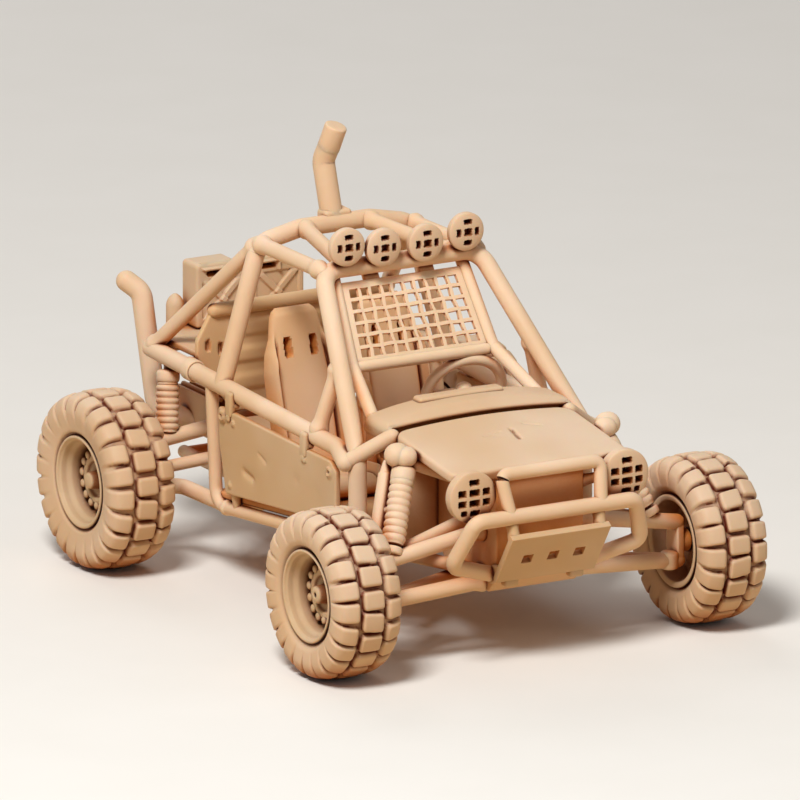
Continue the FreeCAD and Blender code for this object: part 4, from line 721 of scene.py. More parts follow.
def make_floor():
    """A disc on the ground whose rings lie at the square of their share of its reach."""
    angle = np.linspace(0, 2 * math.pi, FLOOR_SIDES, endpoint=False)
    reach = FLOOR_REACH * (np.linspace(0.02, 1, FLOOR_RINGS) ** 2)[:, None]
    rings = np.stack([reach * np.cos(angle), reach * np.sin(angle), 0 * reach + 0 * angle], axis=2)
    faces = grid_faces(*rings.shape[:2]).tolist() + [list(range(FLOOR_SIDES))[::-1]]
    mesh = bpy.data.meshes.new("studio_floor")
    mesh.from_pydata((rings.reshape(-1, 3) * MM).tolist(), [], faces)
    mesh.materials.append(paper_material())
    floor = bpy.data.objects.new("studio_floor", mesh)
    bpy.context.scene.collection.objects.link(floor)
    return floor


print("faces in the floor:", len(make_floor().data.polygons))

# %% [markdown]
# ## Lamps and world
# A small square lamp stands high on the left of the picture and gives the crisp shade. A weak warm
# one fills the far side, one behind lights the rear for the other views, and a dim world does the
# rest. They are set so that the palest tubes stay just below white.

# %% Light the scene
def soft_lamp(name, place, aim, size, power, colour):
    """A square lamp, in metres, that faces a point."""
    light = bpy.data.lights.new(name, "AREA")
    light.size, light.energy, light.color = size, power, colour
    holder = bpy.data.objects.new(name, light)
    bpy.context.scene.collection.objects.link(holder)
    axis, side, up = axes_for(np.asarray(place, float) - np.asarray(aim, float))
    matrix = np.eye(4)
    matrix[:3, 0], matrix[:3, 1], matrix[:3, 2], matrix[:3, 3] = side, up, axis, place
    holder.matrix_world = Matrix(matrix.tolist())


soft_lamp("key lamp", (-0.34, -0.30, 0.62), (0, 0, 0.02), 0.2, 5.0, (1.0, 0.98, 0.93))
soft_lamp("fill lamp", (0.62, -0.42, 0.36), (0, 0, 0.02), 0.5, 0.5, (1.0, 0.9, 0.78))
soft_lamp("back lamp", (0.1, 0.62, 0.5), (0, 0, 0.03), 0.4, 1.1, (1.0, 0.98, 0.95))
world = bpy.data.worlds.new("studio")
bpy.context.scene.world = world
world.use_nodes = True
background = world.node_tree.nodes["Background"]
background.inputs["Color"].default_value = (1.0, 0.95, 0.9, 1.0)
background.inputs["Strength"].default_value = 0.18
bpy.context.scene.view_settings.view_transform = "Standard"
print("lamps, watts:", {light.name: round(light.energy, 2) for light in bpy.data.lights})

# %% [markdown]
# ## Camera
# The picture shows almost no perspective, so the lens is very long. The three angles and the scale
# were fitted to the wheels' centres, the lamps and the frame's corners in the photograph.

# %% Stand the camera
FRAME_PIXELS, PIXELS_PER_MM = 800, 7.193
AZIMUTH, ELEVATION, ROLL = (math.radians(v) for v in (-29.55, 15.24, 0.08))
VIEW_BACK = np.array([math.sin(AZIMUTH) * math.cos(ELEVATION),
                      -math.cos(AZIMUTH) * math.cos(ELEVATION), math.sin(ELEVATION)])
LOOK_RIGHT, LOOK_UP, LOOK_BACK = -16.24, 34.49, 8.0


def make_camera():
    """Stands the camera where one millimetre at the model is PIXELS_PER_MM wide."""
    level = np.array([math.cos(AZIMUTH), math.sin(AZIMUTH), 0.0])
    steep = np.cross(VIEW_BACK, level)
    right = math.cos(ROLL) * level + math.sin(ROLL) * steep
    up = -math.sin(ROLL) * level + math.cos(ROLL) * steep
    lens = bpy.data.cameras.new("long lens")
    lens.lens, lens.sensor_width = 1200.0, 36.0
    lens.clip_start, lens.clip_end = 0.1, 30.0
    distance = lens.lens / lens.sensor_width * FRAME_PIXELS / PIXELS_PER_MM
    middle = right * LOOK_RIGHT + up * LOOK_UP + VIEW_BACK * LOOK_BACK
    place = (middle + VIEW_BACK * distance + (0, FRONT_AXLE_Y, 0)) * MM
    camera = bpy.data.objects.new("camera", lens)
    bpy.context.scene.collection.objects.link(camera)
    matrix = np.eye(4)
    matrix[:3, 0], matrix[:3, 1], matrix[:3, 2], matrix[:3, 3] = right, up, VIEW_BACK, place
    camera.matrix_world = Matrix(matrix.tolist())
    bpy.context.scene.camera = camera
    return distance


print("camera distance, mm:", round(make_camera()))

# %% [markdown]
# ## Tyres
# Each tyre has a row of wide shoulder lugs on both sides, which run down over the sidewall, and a
# row of smaller blocks between them, half a pitch further round. It could be one lug copied round,
# but on the casting the lugs grow out of the carcass without a seam. So the tyre is a height field:
# two cross sections, the bare carcass and the tops of the lugs, and a mask that blends from one to
# the other. First come the wheels' places and the two sections.

# %% Wheel places and tyre sections
TRACK_HALF = 29.3
FRONT_RADIUS, REAR_RADIUS = 12.0, 12.74
WHEELS = {
    "front_left": (1, 0.0, FRONT_RADIUS), "front_right": (-1, 0.0, FRONT_RADIUS),
    "rear_left": (1, WHEELBASE, REAR_RADIUS), "rear_right": (-1, WHEELBASE, REAR_RADIUS),
}
SECTION_POINTS = 48
SIDEWALL = [(4.5, 7.35), (4.1, 7.0), (3.95, 6.72), (3.7, 6.5)]


def smooth_line(points, count):
    """A Catmull-Rom curve through points, read at even steps of its length."""
    points = np.asarray(points, float)
    padded = np.concatenate([2 * points[:1] - points[1:2], points, 2 * points[-1:] - points[-2:-1]])
    share = np.linspace(0, 1, 24, endpoint=False)[None, :, None]
    p0, p1, p2, p3 = (padded[k:len(padded) - 3 + k][:, None] for k in range(4))
    curve = 0.5 * (2 * p1 + (p2 - p0) * share + (2 * p0 - 5 * p1 + 4 * p2 - p3) * share ** 2
                   + (3 * p1 - p0 - 3 * p2 + p3) * share ** 3)
    curve = np.concatenate([curve.reshape(-1, points.shape[1]), points[-1:]])
    along = lengths_along(curve)
    marks = np.linspace(0, along[-1], count)
    return np.stack([np.interp(marks, along, curve[:, k]) for k in range(points.shape[1])], axis=1)


def whole_section(half):
    """A section from bead to bead, from the half that runs from the tread's middle to one bead."""
    half = smooth_line(half + SIDEWALL, SECTION_POINTS)
    return np.concatenate([half[::-1] * (-1.0, 1.0), half[1:]])


def carcass_line(radius):
    """The bare tyre's section as (across, distance from the axle)."""
    return whole_section([(0, radius - 0.98), (1.7, radius - 1.02), (3.2, radius - 1.2),
                          (4.25, radius - 1.65), (4.75, radius - 2.5), (4.88, radius - 3.3),
                          (4.78, radius - 4.2)])


def lug_top_line(radius):
    """The section over the tops of the lugs."""
    return whole_section([(0, radius - 0.02), (1.7, radius - 0.08), (3.2, radius - 0.28),
                          (4.45, radius - 0.8), (5.0, radius - 1.75), (5.12, radius - 2.75),
                          (4.86, radius - 4.1)])


print("widest point of a tyre's lugs, mm:", round(float(lug_top_line(FRONT_RADIUS)[:, 0].max()), 2))

# %% [markdown]
# ## Lugs
# The mask comes from each point's distance to a rounded rectangle, one per lug: 0 in the grooves, 1
# on the tops, with a steep soft flank between. No two lugs of a casting are quite alike, so each is
# shifted and skewed a little by sines of its number, which come out the same on every run.

# %% Lug mask
LUGS = 22
PITCH = 2 * math.pi / LUGS
SHOULDER_CENTRE, SHOULDER_HALF, BLOCK_HALF = 5.12, (1.5, 3.1), (1.52, 1.72)
LUG_CORNER, FLANK = 0.6, 0.62


def lug_row(angle, length, radius, offset, centre, halves, skew, seed):
    """Distance to the nearest lug of one row; offset is the row's shift in pitches."""
    index = np.round(angle / PITCH - offset)
    first, second = np.sin(index * 2.39 + seed), np.sin(index * 4.11 + seed * 1.7)
    u = (angle - (index + offset) * PITCH) * (radius - 0.4) + 0.07 * first
    v = length - centre - 0.06 * second
    u = u + skew * v + 0.09 * second * v
    return rounded_box(u, v, halves[0] + 0.06 * first, halves[1], LUG_CORNER)


def lug_mask(angle, length, radius):
    """1 on the lugs and 0 between them: 1 - (1 - depth inside the outline / flank)^4."""
    rows = ((0.5, SHOULDER_CENTRE, SHOULDER_HALF, 0.03, 0.3),
            (0.5, -SHOULDER_CENTRE, SHOULDER_HALF, -0.03, 1.9), (0.0, 0.0, BLOCK_HALF, 0.05, 4.2))
    outline = np.minimum.reduce([lug_row(angle, length, radius, *row) for row in rows])
    return 1 - (1 - np.clip(-outline / FLANK, 0, 1)) ** 4


print("mask at a block's middle:", float(lug_mask(0.0, 0.0, FRONT_RADIUS)))

# %% [markdown]
# ## Four tyres
# Each point of the grid has a length across the tread and an angle round the axle. The section
# gives its distance from the axle, and the wheel's side gives the way it faces.

# %% Make the tyres
STEPS_PER_LUG = 15


def make_tyre(name, side, y, radius):
    """carcass + mask * (tops - carcass), carried round the axle."""
    carcass, tops = carcass_line(radius), lug_top_line(radius)
    length = lengths_along((carcass + tops) / 2)
    length = (length - length[-1] / 2)[:, None]
    angle = np.linspace(0, 2 * math.pi, LUGS * STEPS_PER_LUG, endpoint=False)[None, :]
    section = carcass[:, None] + lug_mask(angle, length, radius)[..., None] * (tops - carcass)[:, None]
    across, distance = section[..., 0], section[..., 1]
    rings = np.stack([side * (TRACK_HALF + across), y + distance * np.sin(angle),
                      radius - distance * np.cos(angle)], axis=-1)
    finish_piece("tyre_" + name, ring_surface(rings), TYRE_RESIN, body="wheel_" + name, sharp=60.0)


for wheel, (side, y, radius) in WHEELS.items():
    make_tyre(wheel, side, y, radius)
print("tyres:", {name: count for name, count in placed.items() if name.startswith("tyre")})

# %% [markdown]
# ## Rims
# The rim is deep: a rounded lip, a step and a long cone, and at the bottom a raised ring plate with
# fourteen domed studs round it and a cap in the middle. Front caps have a small hole. It is a turned
# piece, so its half outline is drawn once and softened at its corners. Each stud is a turned dome.

# %% Make the rims
STUDS, STUD_RING = 14, 3.72
CAP_PLATE = [(1.2, 1.7), (1.2, 2.4), (1.75, 2.65), (1.75, 3.45), (0.6, 3.5), (-0.1, 3.6)]
CONE = [(-0.1, 4.75), (1.3, 4.95), (2.6, 5.3), (3.15, 5.75), (3.95, 5.92)]
LIP = [(4.15, 6.1), (4.42, 6.2), (4.5, 6.42), (4.38, 6.62), (4.05, 6.7), (3.7, 6.68)]
BARREL = [(3.6, 6.2), (-3.6, 6.2), (-3.9, 6.65), (-4.4, 6.65), (-4.5, 6.4), (-4.3, 5.75)]
BACK = [(-0.4, 5.6), (-0.2, 5.2), (-0.2, 2.0), (-1.7, 2.0), (-1.7, 1.05), (0.75, 1.05), (0.75, 0.0)]
STUD = [(0.0, 0.0), (0.0, 0.7), (1.55, 0.66), (1.85, 0.5), (1.95, 0.0)]


def rim_outline(front):
    """Half outline from the cap's crown out to the lip and back to the hub's bore."""
    if front:
        crown = [(2.4, 0.0), (2.45, 0.26), (2.95, 0.34), (3.0, 0.7)]
    else:
        crown = [(3.0, 0.0), (2.98, 0.7)]
    cap = 1.3 if front else 1.25
    cap_side = [(2.8, cap - 0.1), (2.4, cap), (1.3, cap + 0.1)]
    return crown + cap_side + CAP_PLATE + CONE + LIP + BARREL + BACK


def make_rim(name, side, y, radius):
    """The half outline once round the axle, and a ring of domed studs."""
    centre = np.array((side * TRACK_HALF, y, radius))
    outline = softened(rim_outline(radius == FRONT_RADIUS), 0.22, 3)
    parts = [turned(outline, centre, (side, 0, 0), 88)]
    for turn in np.arange(STUDS) * 2 * math.pi / STUDS + 0.13:
        spot = centre + (side * 0.1, STUD_RING * math.sin(turn), STUD_RING * math.cos(turn))
        parts.append(turned(softened(STUD, 0.18, 3), spot, (side, 0, 0), 14))
    finish_piece("rim_" + name, merge(*parts), RIM_RESIN, body="wheel_" + name, sharp=50.0)


for wheel, (side, y, radius) in WHEELS.items():
    make_rim(wheel, side, y, radius)
print("rims:", {name: count for name, count in placed.items() if name.startswith("rim")})

# %% [markdown]
# ## The space frame
# The real buggy's frame is bent and welded round tube, and the model keeps its order: two side
# rails, a hoop over the seats, a windscreen hoop, lower side hoops that run in to the nose, and
# braces between them. The tubes meet at a few points, so those come first, with the heights of the
# two tubes that slope along the whole car.

# %% Points and heights along the frame
HALF = 18.1
MAIN_TUBE, BRACE_TUBE, LIGHT_TUBE = 1.3, 1.1, 0.9
FOOT_Y, RAIL_FRONT_Z, LOW_FRONT_Z = 13.0, 26.7, 14.3
RAIL_END_Y, RAIL_END_Z = 72.2, 28.6
LOW_END_Y, LOW_END_Z = 53.3, 10.2
SCREEN_CORNER = np.array((12.5, 33.0, 48.2))
HOOP_CORNER = np.array((12.3, 51.6, 47.9))
HOOP_CROWN = np.array((5.5, 51.6, 49.3))
RAIL_NOSE = (19.7, 13.6, 26.1)
RAIL_FOOT = (HALF, FOOT_Y, RAIL_FRONT_Z)
RAIL_END = (HALF, RAIL_END_Y, RAIL_END_Z)


def rail_z(y):
    """Height of the side rail's axis."""
    return RAIL_FRONT_Z + (RAIL_END_Z - RAIL_FRONT_Z) * (y - FOOT_Y) / (RAIL_END_Y - FOOT_Y)


def low_z(y):
    """Height of the lower tube's axis."""
    return LOW_FRONT_Z + (LOW_END_Z - LOW_FRONT_Z) * (y - FOOT_Y) / (LOW_END_Y - FOOT_Y)


def screen_point(z):
    """A point on the windscreen pillar's axis at a height."""
    share = (z - RAIL_FRONT_Z) / (SCREEN_CORNER[2] - RAIL_FRONT_Z)
    return np.array(RAIL_FOOT) * (1 - share) + SCREEN_CORNER * share


print("rail height over the rear axle:", round(rail_z(WHEELBASE), 2), "mm")

# %% [markdown]
# ## Hoops and rails
# A hoop's path is its left half, then the same points mirrored on the way back down. The rail has a
# sleeve where its rear part is plugged in, and the side hoop runs from the rail down behind the
# seats, along the floor, and in to the nose.

# %% Make the hoops and rails
def both_ways(corners):
    """A run of points and its mirror image, as one path from the left foot to the right one."""
    corners = np.asarray(corners, float)
    return np.concatenate([corners, corners[::-1] * (-1, 1, 1)])


def hoop(name, corners):
    """A main tube along a left half and its mirror image."""
    finish_piece(name, tube(both_ways(corners), MAIN_TUBE, bend=3.2, sides=32), TUBE_RESIN)


hoop("windscreen_hoop", [(HALF, FOOT_Y, LOW_FRONT_Z), RAIL_FOOT, SCREEN_CORNER])
hoop("main_hoop", [(HALF, HOOP_CORNER[1], rail_z(HOOP_CORNER[1])), HOOP_CORNER, HOOP_CROWN])
side_hoop = tube([(HALF, 54.8, rail_z(54.8)), (HALF, LOW_END_Y, LOW_END_Z), (HALF, FOOT_Y, LOW_FRONT_Z),
                  (6.0, -4.9, 12.6)], 0.94, bend=2.8, sides=32)
sleeve = softened([(0.0, 1.1), (0.0, 1.62), (2.0, 1.62), (2.0, 1.1)], 0.3)
rail = tube([RAIL_NOSE, (HALF, 18.6, rail_z(18.6)), RAIL_END], MAIN_TUBE, bend=4.0, sides=32)
rail = merge(rail, turned(sleeve, (HALF, 59.2, rail_z(59.2)), (0, 1, 0.032), sides=40))
for side_name, on_side in (("_left", lambda part: part), ("_right", mirror)):
    finish_piece("side_rail" + side_name, on_side(rail), TUBE_RESIN)
    finish_piece("side_hoop" + side_name, on_side(side_hoop), TUBE_RESIN)
print("hoops and rails:", sum(placed[name] for name in placed if "hoop" in name or "rail" in name))

# %% [markdown]
# ## Braces and cross tubes
# Thinner straight tubes close the frame into triangles. Each one ends on another tube's axis, and
# its fillets make the joint look cast in one.

# %% Make the braces
WELD = (0.35, 0.35)
roof = merge(tube([HOOP_CORNER, SCREEN_CORNER], BRACE_TUBE, fillets=WELD),
             tube([(5.0, 51.6, 49.3), (8.6, 33.0, 48.2)], BRACE_TUBE, fillets=WELD))
strut = tube([screen_point(37.6), (HALF, 24.6, rail_z(24.6))], BRACE_TUBE, fillets=WELD)
dash = tube([RAIL_NOSE, (14.2, 10.25, 29.9)], 1.12)
stay = tube([HOOP_CORNER, RAIL_END], BRACE_TUBE, fillets=WELD)
braces = {"roof_tubes": roof, "windscreen_struts": merge(strut, dash), "rear_stays": stay}
for name, part in braces.items():
    finish_piece(name, both(part), TUBE_RESIN)


def cross_tubes(name, places, radius):
    """Tubes from one side to the other, each at its (y, z)."""
    finish_piece(name, merge(*(tube([(HALF, y, z), (-HALF, y, z)], radius, fillets=(0.25, 0.25))
                               for y, z in places)), TUBE_RESIN)


cross_tubes("upper_cross_tubes", ((RAIL_END_Y, RAIL_END_Z), (62.75, rail_z(62.75))), LIGHT_TUBE)
cross_tubes("lower_cross_tubes", ((50.3, low_z(50.3)), (16.0, low_z(16.0))), BRACE_TUBE)
print("braces:", {name: placed[name] for name in ("roof_tubes", "rear_stays", "upper_cross_tubes")})

# %% [markdown]
# ## Front box
# A plain box carries the nose, the arms and the bumper, and hides behind them. Its top slants, so a
# cube won't do: its side view is drawn once and stretched across the car.

# %% Make the front box
NOSE_HALF = 7.0
box_outline = rounded_outline([(-6.5, 12.4), (-6.5, 26.85), (10.2, 29.05), (10.2, 13.6), (5.5, 10.0),
                               (-4.3, 10.0)], 0.5, spacing=0.6)
finish_piece("front_box", plate(box_outline, NOSE_HALF, -NOSE_HALF, 0.3, in_side, rings=3), SEAT_RESIN)
print("front box triangles:", placed["front_box"])

# %% [markdown]
# ## Hood
# The hood is a thin, slightly crowned lid with rolled edges, three scratches and two shallow dents.
# It is a plate whose height is a formula of its place, so the marks are real hollows, not a texture.
# Its rings close in on the deepest scratch, where the most detail is.

# %% Make the hood
HOOD_HALF, HOOD_FRONT_Y, HOOD_REAR_Y = 14.2, -7.2, 10.2
HOOD_FRONT_Z, HOOD_REAR_Z, HOOD_THICK = 28.3, 30.6, 1.5
FRONT_CROWN, REAR_CROWN = 0.22, 0.75


def hood_z(y):
    """Height of the lid's side edge, a straight line from front to rear."""
    rise, run = HOOD_REAR_Z - HOOD_FRONT_Z, HOOD_REAR_Y - HOOD_FRONT_Y
    return HOOD_FRONT_Z + rise * (y - HOOD_FRONT_Y) / run


def hood_top(a, b):
    """Edge line + crown * (1 - (a / half)^2), less the marks."""
    crown = np.interp(b, (HOOD_FRONT_Y, HOOD_REAR_Y), (FRONT_CROWN, REAR_CROWN))
    marks = scratch(a, b, (1.5, 4.3), (1.05, 1.2), 0.3, 0.5)
    marks = marks + scratch(a, b, (-3.2, 3.2), (-0.7, 4.0), 0.3, 0.12)
    marks = marks + scratch(a, b, (4.3, 5.6), (6.2, 4.6), 0.3, 0.14)
    marks = marks + dent(a, b, (-1.8, 3.2), (1.2, 0.9), 0.1) + dent(a, b, (5.6, 5.8), (1.3, 0.9), 0.1)
    return hood_z(b) + crown * (1 - (a / HOOD_HALF) ** 2) - marks


def hood_underside(a, b):
    """A flat sheet below: edge line - thickness."""
    return hood_z(b) - HOOD_THICK


lid = rounded_outline([(-HOOD_HALF, HOOD_FRONT_Y), (HOOD_HALF, HOOD_FRONT_Y),
                       (HOOD_HALF, HOOD_REAR_Y), (-HOOD_HALF, HOOD_REAR_Y)], 2.4, spacing=0.38)
finish_piece("hood", plate(lid, hood_top, hood_underside, 0.5, in_plan, rings=76, hub=(1.2, 3.0)),
             BODY_RESIN)
print("hood triangles:", placed["hood"])

# %% [markdown]
# ## Cowl
# Behind the hood an arched cowl rises over the dash. Its section runs along the car: up behind a
# narrow groove, round a soft front lip, up a slope, along the flat top, and round the rear lip. The
# section is worked out at 150 places across, and the arch and its rolled ends come from one crest
# formula. Cheeks close its ends, a low hump lies on top, and two thick walls below it close off the
# footwell, where the photograph shows no daylight past the front box.

# %% Make the cowl
COWL_HALF, COWL_PEAK, COWL_DROP = 15.0, 33.1, 1.6
COWL_FRONT, COWL_REAR, COWL_WALL, COWL_FOOT = 10.6, 16.8, 1.1, 26.6
COWL_SLOPE, END_ROLL, END_DROP, FRONT_LIP = 0.72, 1.1, 1.3, 0.42


def cowl_crest(x):
    """A flat arc across the car, peak - drop * |x / half|^2.5, that rolls over at its ends."""
    over = np.clip((np.abs(x) - COWL_HALF + END_ROLL) / END_ROLL, 0, 1)
    rolled = END_DROP * (1 - np.sqrt(1 - 0.98 * over ** 2))
    return COWL_PEAK - COWL_DROP * np.abs(x / COWL_HALF) ** 2.5 - rolled


def cowl_rings(x):
    """Sections along the car: up the slope, along the top, round the rear lip and back below."""
    crest = cowl_crest(x)[:, None]
    base = np.minimum(HOOD_REAR_Z + 0.75 * (1 - (x[:, None] / HOOD_HALF) ** 2), crest - 0.9)
    knee = COWL_FRONT + (crest - base - 0.6) / COWL_SLOPE
    still = 0 * crest
    lip = np.linspace(-math.pi / 2, 0.3 * math.pi, 7)
    rise = np.linspace(-1, 1, 9)
    roll = np.linspace(math.pi / 2, -math.pi / 2, 9)
    y = [still + COWL_FRONT + 0.5, still + COWL_FRONT + 0.5,
         still + COWL_FRONT + 0.3 - FRONT_LIP * np.cos(lip),
         knee + 0.9 * rise,
         still + COWL_REAR - COWL_WALL / 2 * (1 - np.cos(roll)),
         knee + 1.4, knee + 0.8, still + COWL_FRONT + 1.5, still + COWL_FRONT + 1.5]
    z = [still + COWL_FOOT, base - 0.3,
         base + FRONT_LIP * (1 + np.sin(lip)),
         crest - 0.9 * COWL_SLOPE * np.maximum(-rise, 0) - 0.12 * (1 - np.abs(rise)),
         crest - COWL_WALL / 2 * (1 - np.sin(roll)),
         crest - COWL_WALL, crest - COWL_WALL - 0.3, base - 1.0, still + COWL_FOOT]
    y, z = np.concatenate(y, axis=1), np.concatenate(z, axis=1)
    x = x[:, None] + 0 * y
    z = z - scratch(x, y, (-5.2, 13.4), (3.8, 13.9), 0.3, 0.12) * (z > crest - 1.0)
    return np.stack([x, y, z], axis=2)


stations = COWL_HALF * np.sin(np.linspace(-math.pi / 2, math.pi / 2, 150))
cheek = block((13.4, 10.35, COWL_FOOT), (14.95, 16.75, 31.0), 0.6)
footwell_wall = block((6.6, 9.9, 13.6), (14.6, 12.1, 27.6), 0.3)
hump = block((-7.4, 14.3, 32.0), (6.2, 16.65, 33.5), 0.5)
cowl = merge(closed_surface(cowl_rings(stations)), both(merge(cheek, footwell_wall)), hump)
finish_piece("cowl", cowl, BODY_RESIN)
print("points on one section of the cowl:", cowl_rings(stations).shape[1])

# %% [markdown]
# ## Bumper and nudge bar
# Two bent tubes guard the nose. The bumper comes out of the chassis low down, turns up round the
# skid plate and crosses in front of the box; the nudge bar stands on it.

# %% Make the bumper and nudge bar
bumper_run = both_ways([(6.5, -5.6, 12.8), (15.2, -8.2, 15.7), (12.7, -10.9, 22.4)])
nudge_run = both_ways([(7.2, -10.9, 22.4), (8.0, -9.3, 28.2)])
finish_piece("bumper", tube(bumper_run, 1.12, bend=1.5), TUBE_RESIN)
finish_piece("nudge_bar", tube(nudge_run, 0.96, bend=1.1), TUBE_RESIN)
print("bumper triangles:", placed["bumper"])

# %% [markdown]
# ## Sheets with holes
# A plate with square holes could be cut with booleans, but a sheet of cells is simpler: each cell of
# a grid is solid or open, and a wall is drawn wherever the two meet. A Bevel modifier then rolls
# every edge. The skid plate and the net are both made this way.

# %% Sheet and bevel helpers
SAME_PLACE = 0.001


def cell_sheet(solid, place, thickness):
    """Top and bottom faces for each solid cell and a wall between a solid and an open one.

    place(column, row, height) gives the points, where column and row count the cells' corners.
    """
    rows, columns = solid.shape
    padded = np.pad(solid, 1)
    row, column = np.meshgrid(np.arange(rows + 1), np.arange(columns + 1), indexing="ij")
    low = place(column.ravel(), row.ravel(), 0.0 * row.ravel())
    high = place(column.ravel(), row.ravel(), thickness + 0.0 * row.ravel())
    count = len(low)
    index = row * (columns + 1) + column
    a, b, c, d = index[:-1, :-1], index[:-1, 1:], index[1:, 1:], index[1:, :-1]
    quads = [np.stack([v[solid] + count for v in (a, b, c, d)], axis=1),
             np.stack([v[solid] for v in (d, c, b, a)], axis=1)]
    for shift, first, second in (((-1, 0), a, b), ((0, 1), b, c), ((1, 0), c, d), ((0, -1), d, a)):
        open_beside = ~padded[1 + shift[0]:rows + 1 + shift[0], 1 + shift[1]:columns + 1 + shift[1]]
        edge = solid & open_beside
        quads.append(np.stack([first[edge], second[edge], second[edge] + count,
                               first[edge] + count], axis=1))
    used, quads = np.unique(np.concatenate(quads), return_inverse=True)
    points = np.concatenate([low, high])[used]
    return outward((points, quads.reshape(-1, 4), np.zeros((0, 3), int)))


def bevel(piece, width, segments):
    """Joins points that coincide, then rolls every edge that turns by more than 40 degrees."""
    piece.modifiers.new("joined points", "WELD").merge_threshold = SAME_PLACE * MM
    rounding = piece.modifiers.new("rolled edges", "BEVEL")
    rounding.width, rounding.segments = width * MM, segments
    rounding.limit_method, rounding.angle_limit = "ANGLE", math.radians(40)


print("faces on one solid cell:", len(cell_sheet(
    np.ones((1, 1), bool), lambda *corner: np.stack(corner, axis=1) * 1.0, 0.5)[1]))

# %% [markdown]
# ## Skid plate
# A slanted plate with three square windows hangs below the bumper on two hooks. Its sides are
# folded back, and two short ears rest on the lower arms' mounts.

# %% Make the skid plate
SKID_THICK = 1.0
skid_top, skid_low = np.array((-12.7, 19.6)), np.array((-7.9, 12.3))
skid_length = np.linalg.norm(skid_top - skid_low)
skid_up = (skid_top - skid_low) / skid_length
skid_in = np.array((skid_up[1], -skid_up[0]))
skid_columns = np.array([-7.9, -7.0, -4.95, -3.35, -0.8, 0.8, 3.35, 4.95, 7.0, 7.9])
skid_rows = np.array([0, 0.9, 3.45, 5.05, 7.9, skid_length])
WINDOW_ROW, WINDOW_COLUMNS = 2, (2, 4, 6)


def skid_place(column, row, height):
    """Corner numbers to points: columns across the car, rows up the slant."""
    along = skid_low + skid_rows[row][:, None] * skid_up + (SKID_THICK - height)[:, None] * skid_in
    return np.stack([skid_columns[column], along[:, 0], along[:, 1]], axis=1)


solid = np.ones((len(skid_rows) - 1, len(skid_columns) - 1), bool)
solid[WINDOW_ROW, list(WINDOW_COLUMNS)] = False
flange_outline = rounded_outline([(-7.75, 12.3), (-9.3, 14.8), (-6.5, 14.6), (-5.0, 12.6),
                                  (-6.0, 11.7)], 0.3, spacing=0.3)
flange = plate(flange_outline, 7.8, 7.0, 0.2, in_side, rings=3)
hook = tube([(6.9, -11.4, 19.0), (6.9, -10.5, 21.9)], 0.7, fillets=(0.2, 0.2))
ear = block((4.1, -7.9, 11.4), (6.3, -6.4, 12.8), 0.35)
skid_plate = finish_piece("skid_plate", merge(cell_sheet(solid, skid_place, SKID_THICK),
                                              both(merge(flange, hook, ear))), PLATE_RESIN)
bevel(skid_plate, 0.22, 3)
print("windows in the skid plate:", int((~solid).sum()))

# %% [markdown]
# ## Lamp shape
# Each lamp has a domed stone guard with square slots. Its front is a polar grid, pushed inwards
# where a slot's mask is 1, so the slots have real depth and soft rims. The grid then goes on over
# the rolled rim and closes behind as a short bowl.

# %% Lamp helper
LAMP_BULGE, SLOT_EXTRA, SLOT_RIM, SLOT_CORNER = 0.55, 0.5, 0.13, 0.12


def lamp(centre, radius, depth, slots, rings, sides):
    """A lamp that looks along -Y: bulge * (1 - (reach / radius)^2)^0.5, less the slots' depth."""
    reach = radius * np.sin(np.linspace(0.02, math.pi / 2, rings))[:, None]
    angle = np.linspace(0, 2 * math.pi, sides, endpoint=False)[None, :]
    across, up = reach * np.cos(angle), reach * np.sin(angle)
    bulge = LAMP_BULGE * np.sqrt(np.maximum(1 - (reach / radius) ** 2, 0)) + 0 * angle
    away = np.minimum.reduce([rounded_box(across - slot_x, up - slot_z, half_x, half_z, SLOT_CORNER)
                              for slot_x, slot_z, half_x, half_z in slots])
    front = np.stack([across, -bulge + (depth + SLOT_EXTRA) * ease(-away / SLOT_RIM), up], axis=2)
    back = softened([(0.0, radius), (depth, radius), (depth + 0.5, radius * 0.86),
                     (depth + 1.5, radius * 0.45), (depth + 1.6, 0.05)], 0.35, 5)[1:]
    bowl = np.stack([back[:, 1:2] * np.cos(angle), back[:, :1] + 0 * angle,
                     back[:, 1:2] * np.sin(angle)], axis=2)
    return closed_surface(np.concatenate([front, bowl]) + centre)


print("points on a small lamp:", len(lamp((0, 0, 0), 2.0, 0.8, [(0, 0, 0.5, 0.5)], 20, 60)[0]))

# %% [markdown]
# ## Two headlamps and four roof lamps
# The headlamps have two rows of three slots, with one or two more above and below. The roof lamps
# are smaller and have five slots. They stand in a row that isn't quite even, each on a short stem.

# %% Make the lamps
head_slots = [(x, z, 0.6 if x else 0.82, 0.5) for z in (-0.74, 0.74) for x in (-1.92, 0.0, 1.92)]
head_slots += [(0.0, 2.2, 0.78, 0.44), (-0.1, -2.2, 0.78, 0.44), (1.6, -2.1, 0.44, 0.38)]
head = lamp((12.2, -9.05, 25.5), 3.66, 1.4, head_slots, rings=42, sides=128)
stem = tube([(12.3, -6.9, 25.4), (6.5, -5.3, 24.4)], 0.75, fillets=(0.3, 0.2))
finish_pair("headlamp", merge(head, stem), BODY_RESIN)

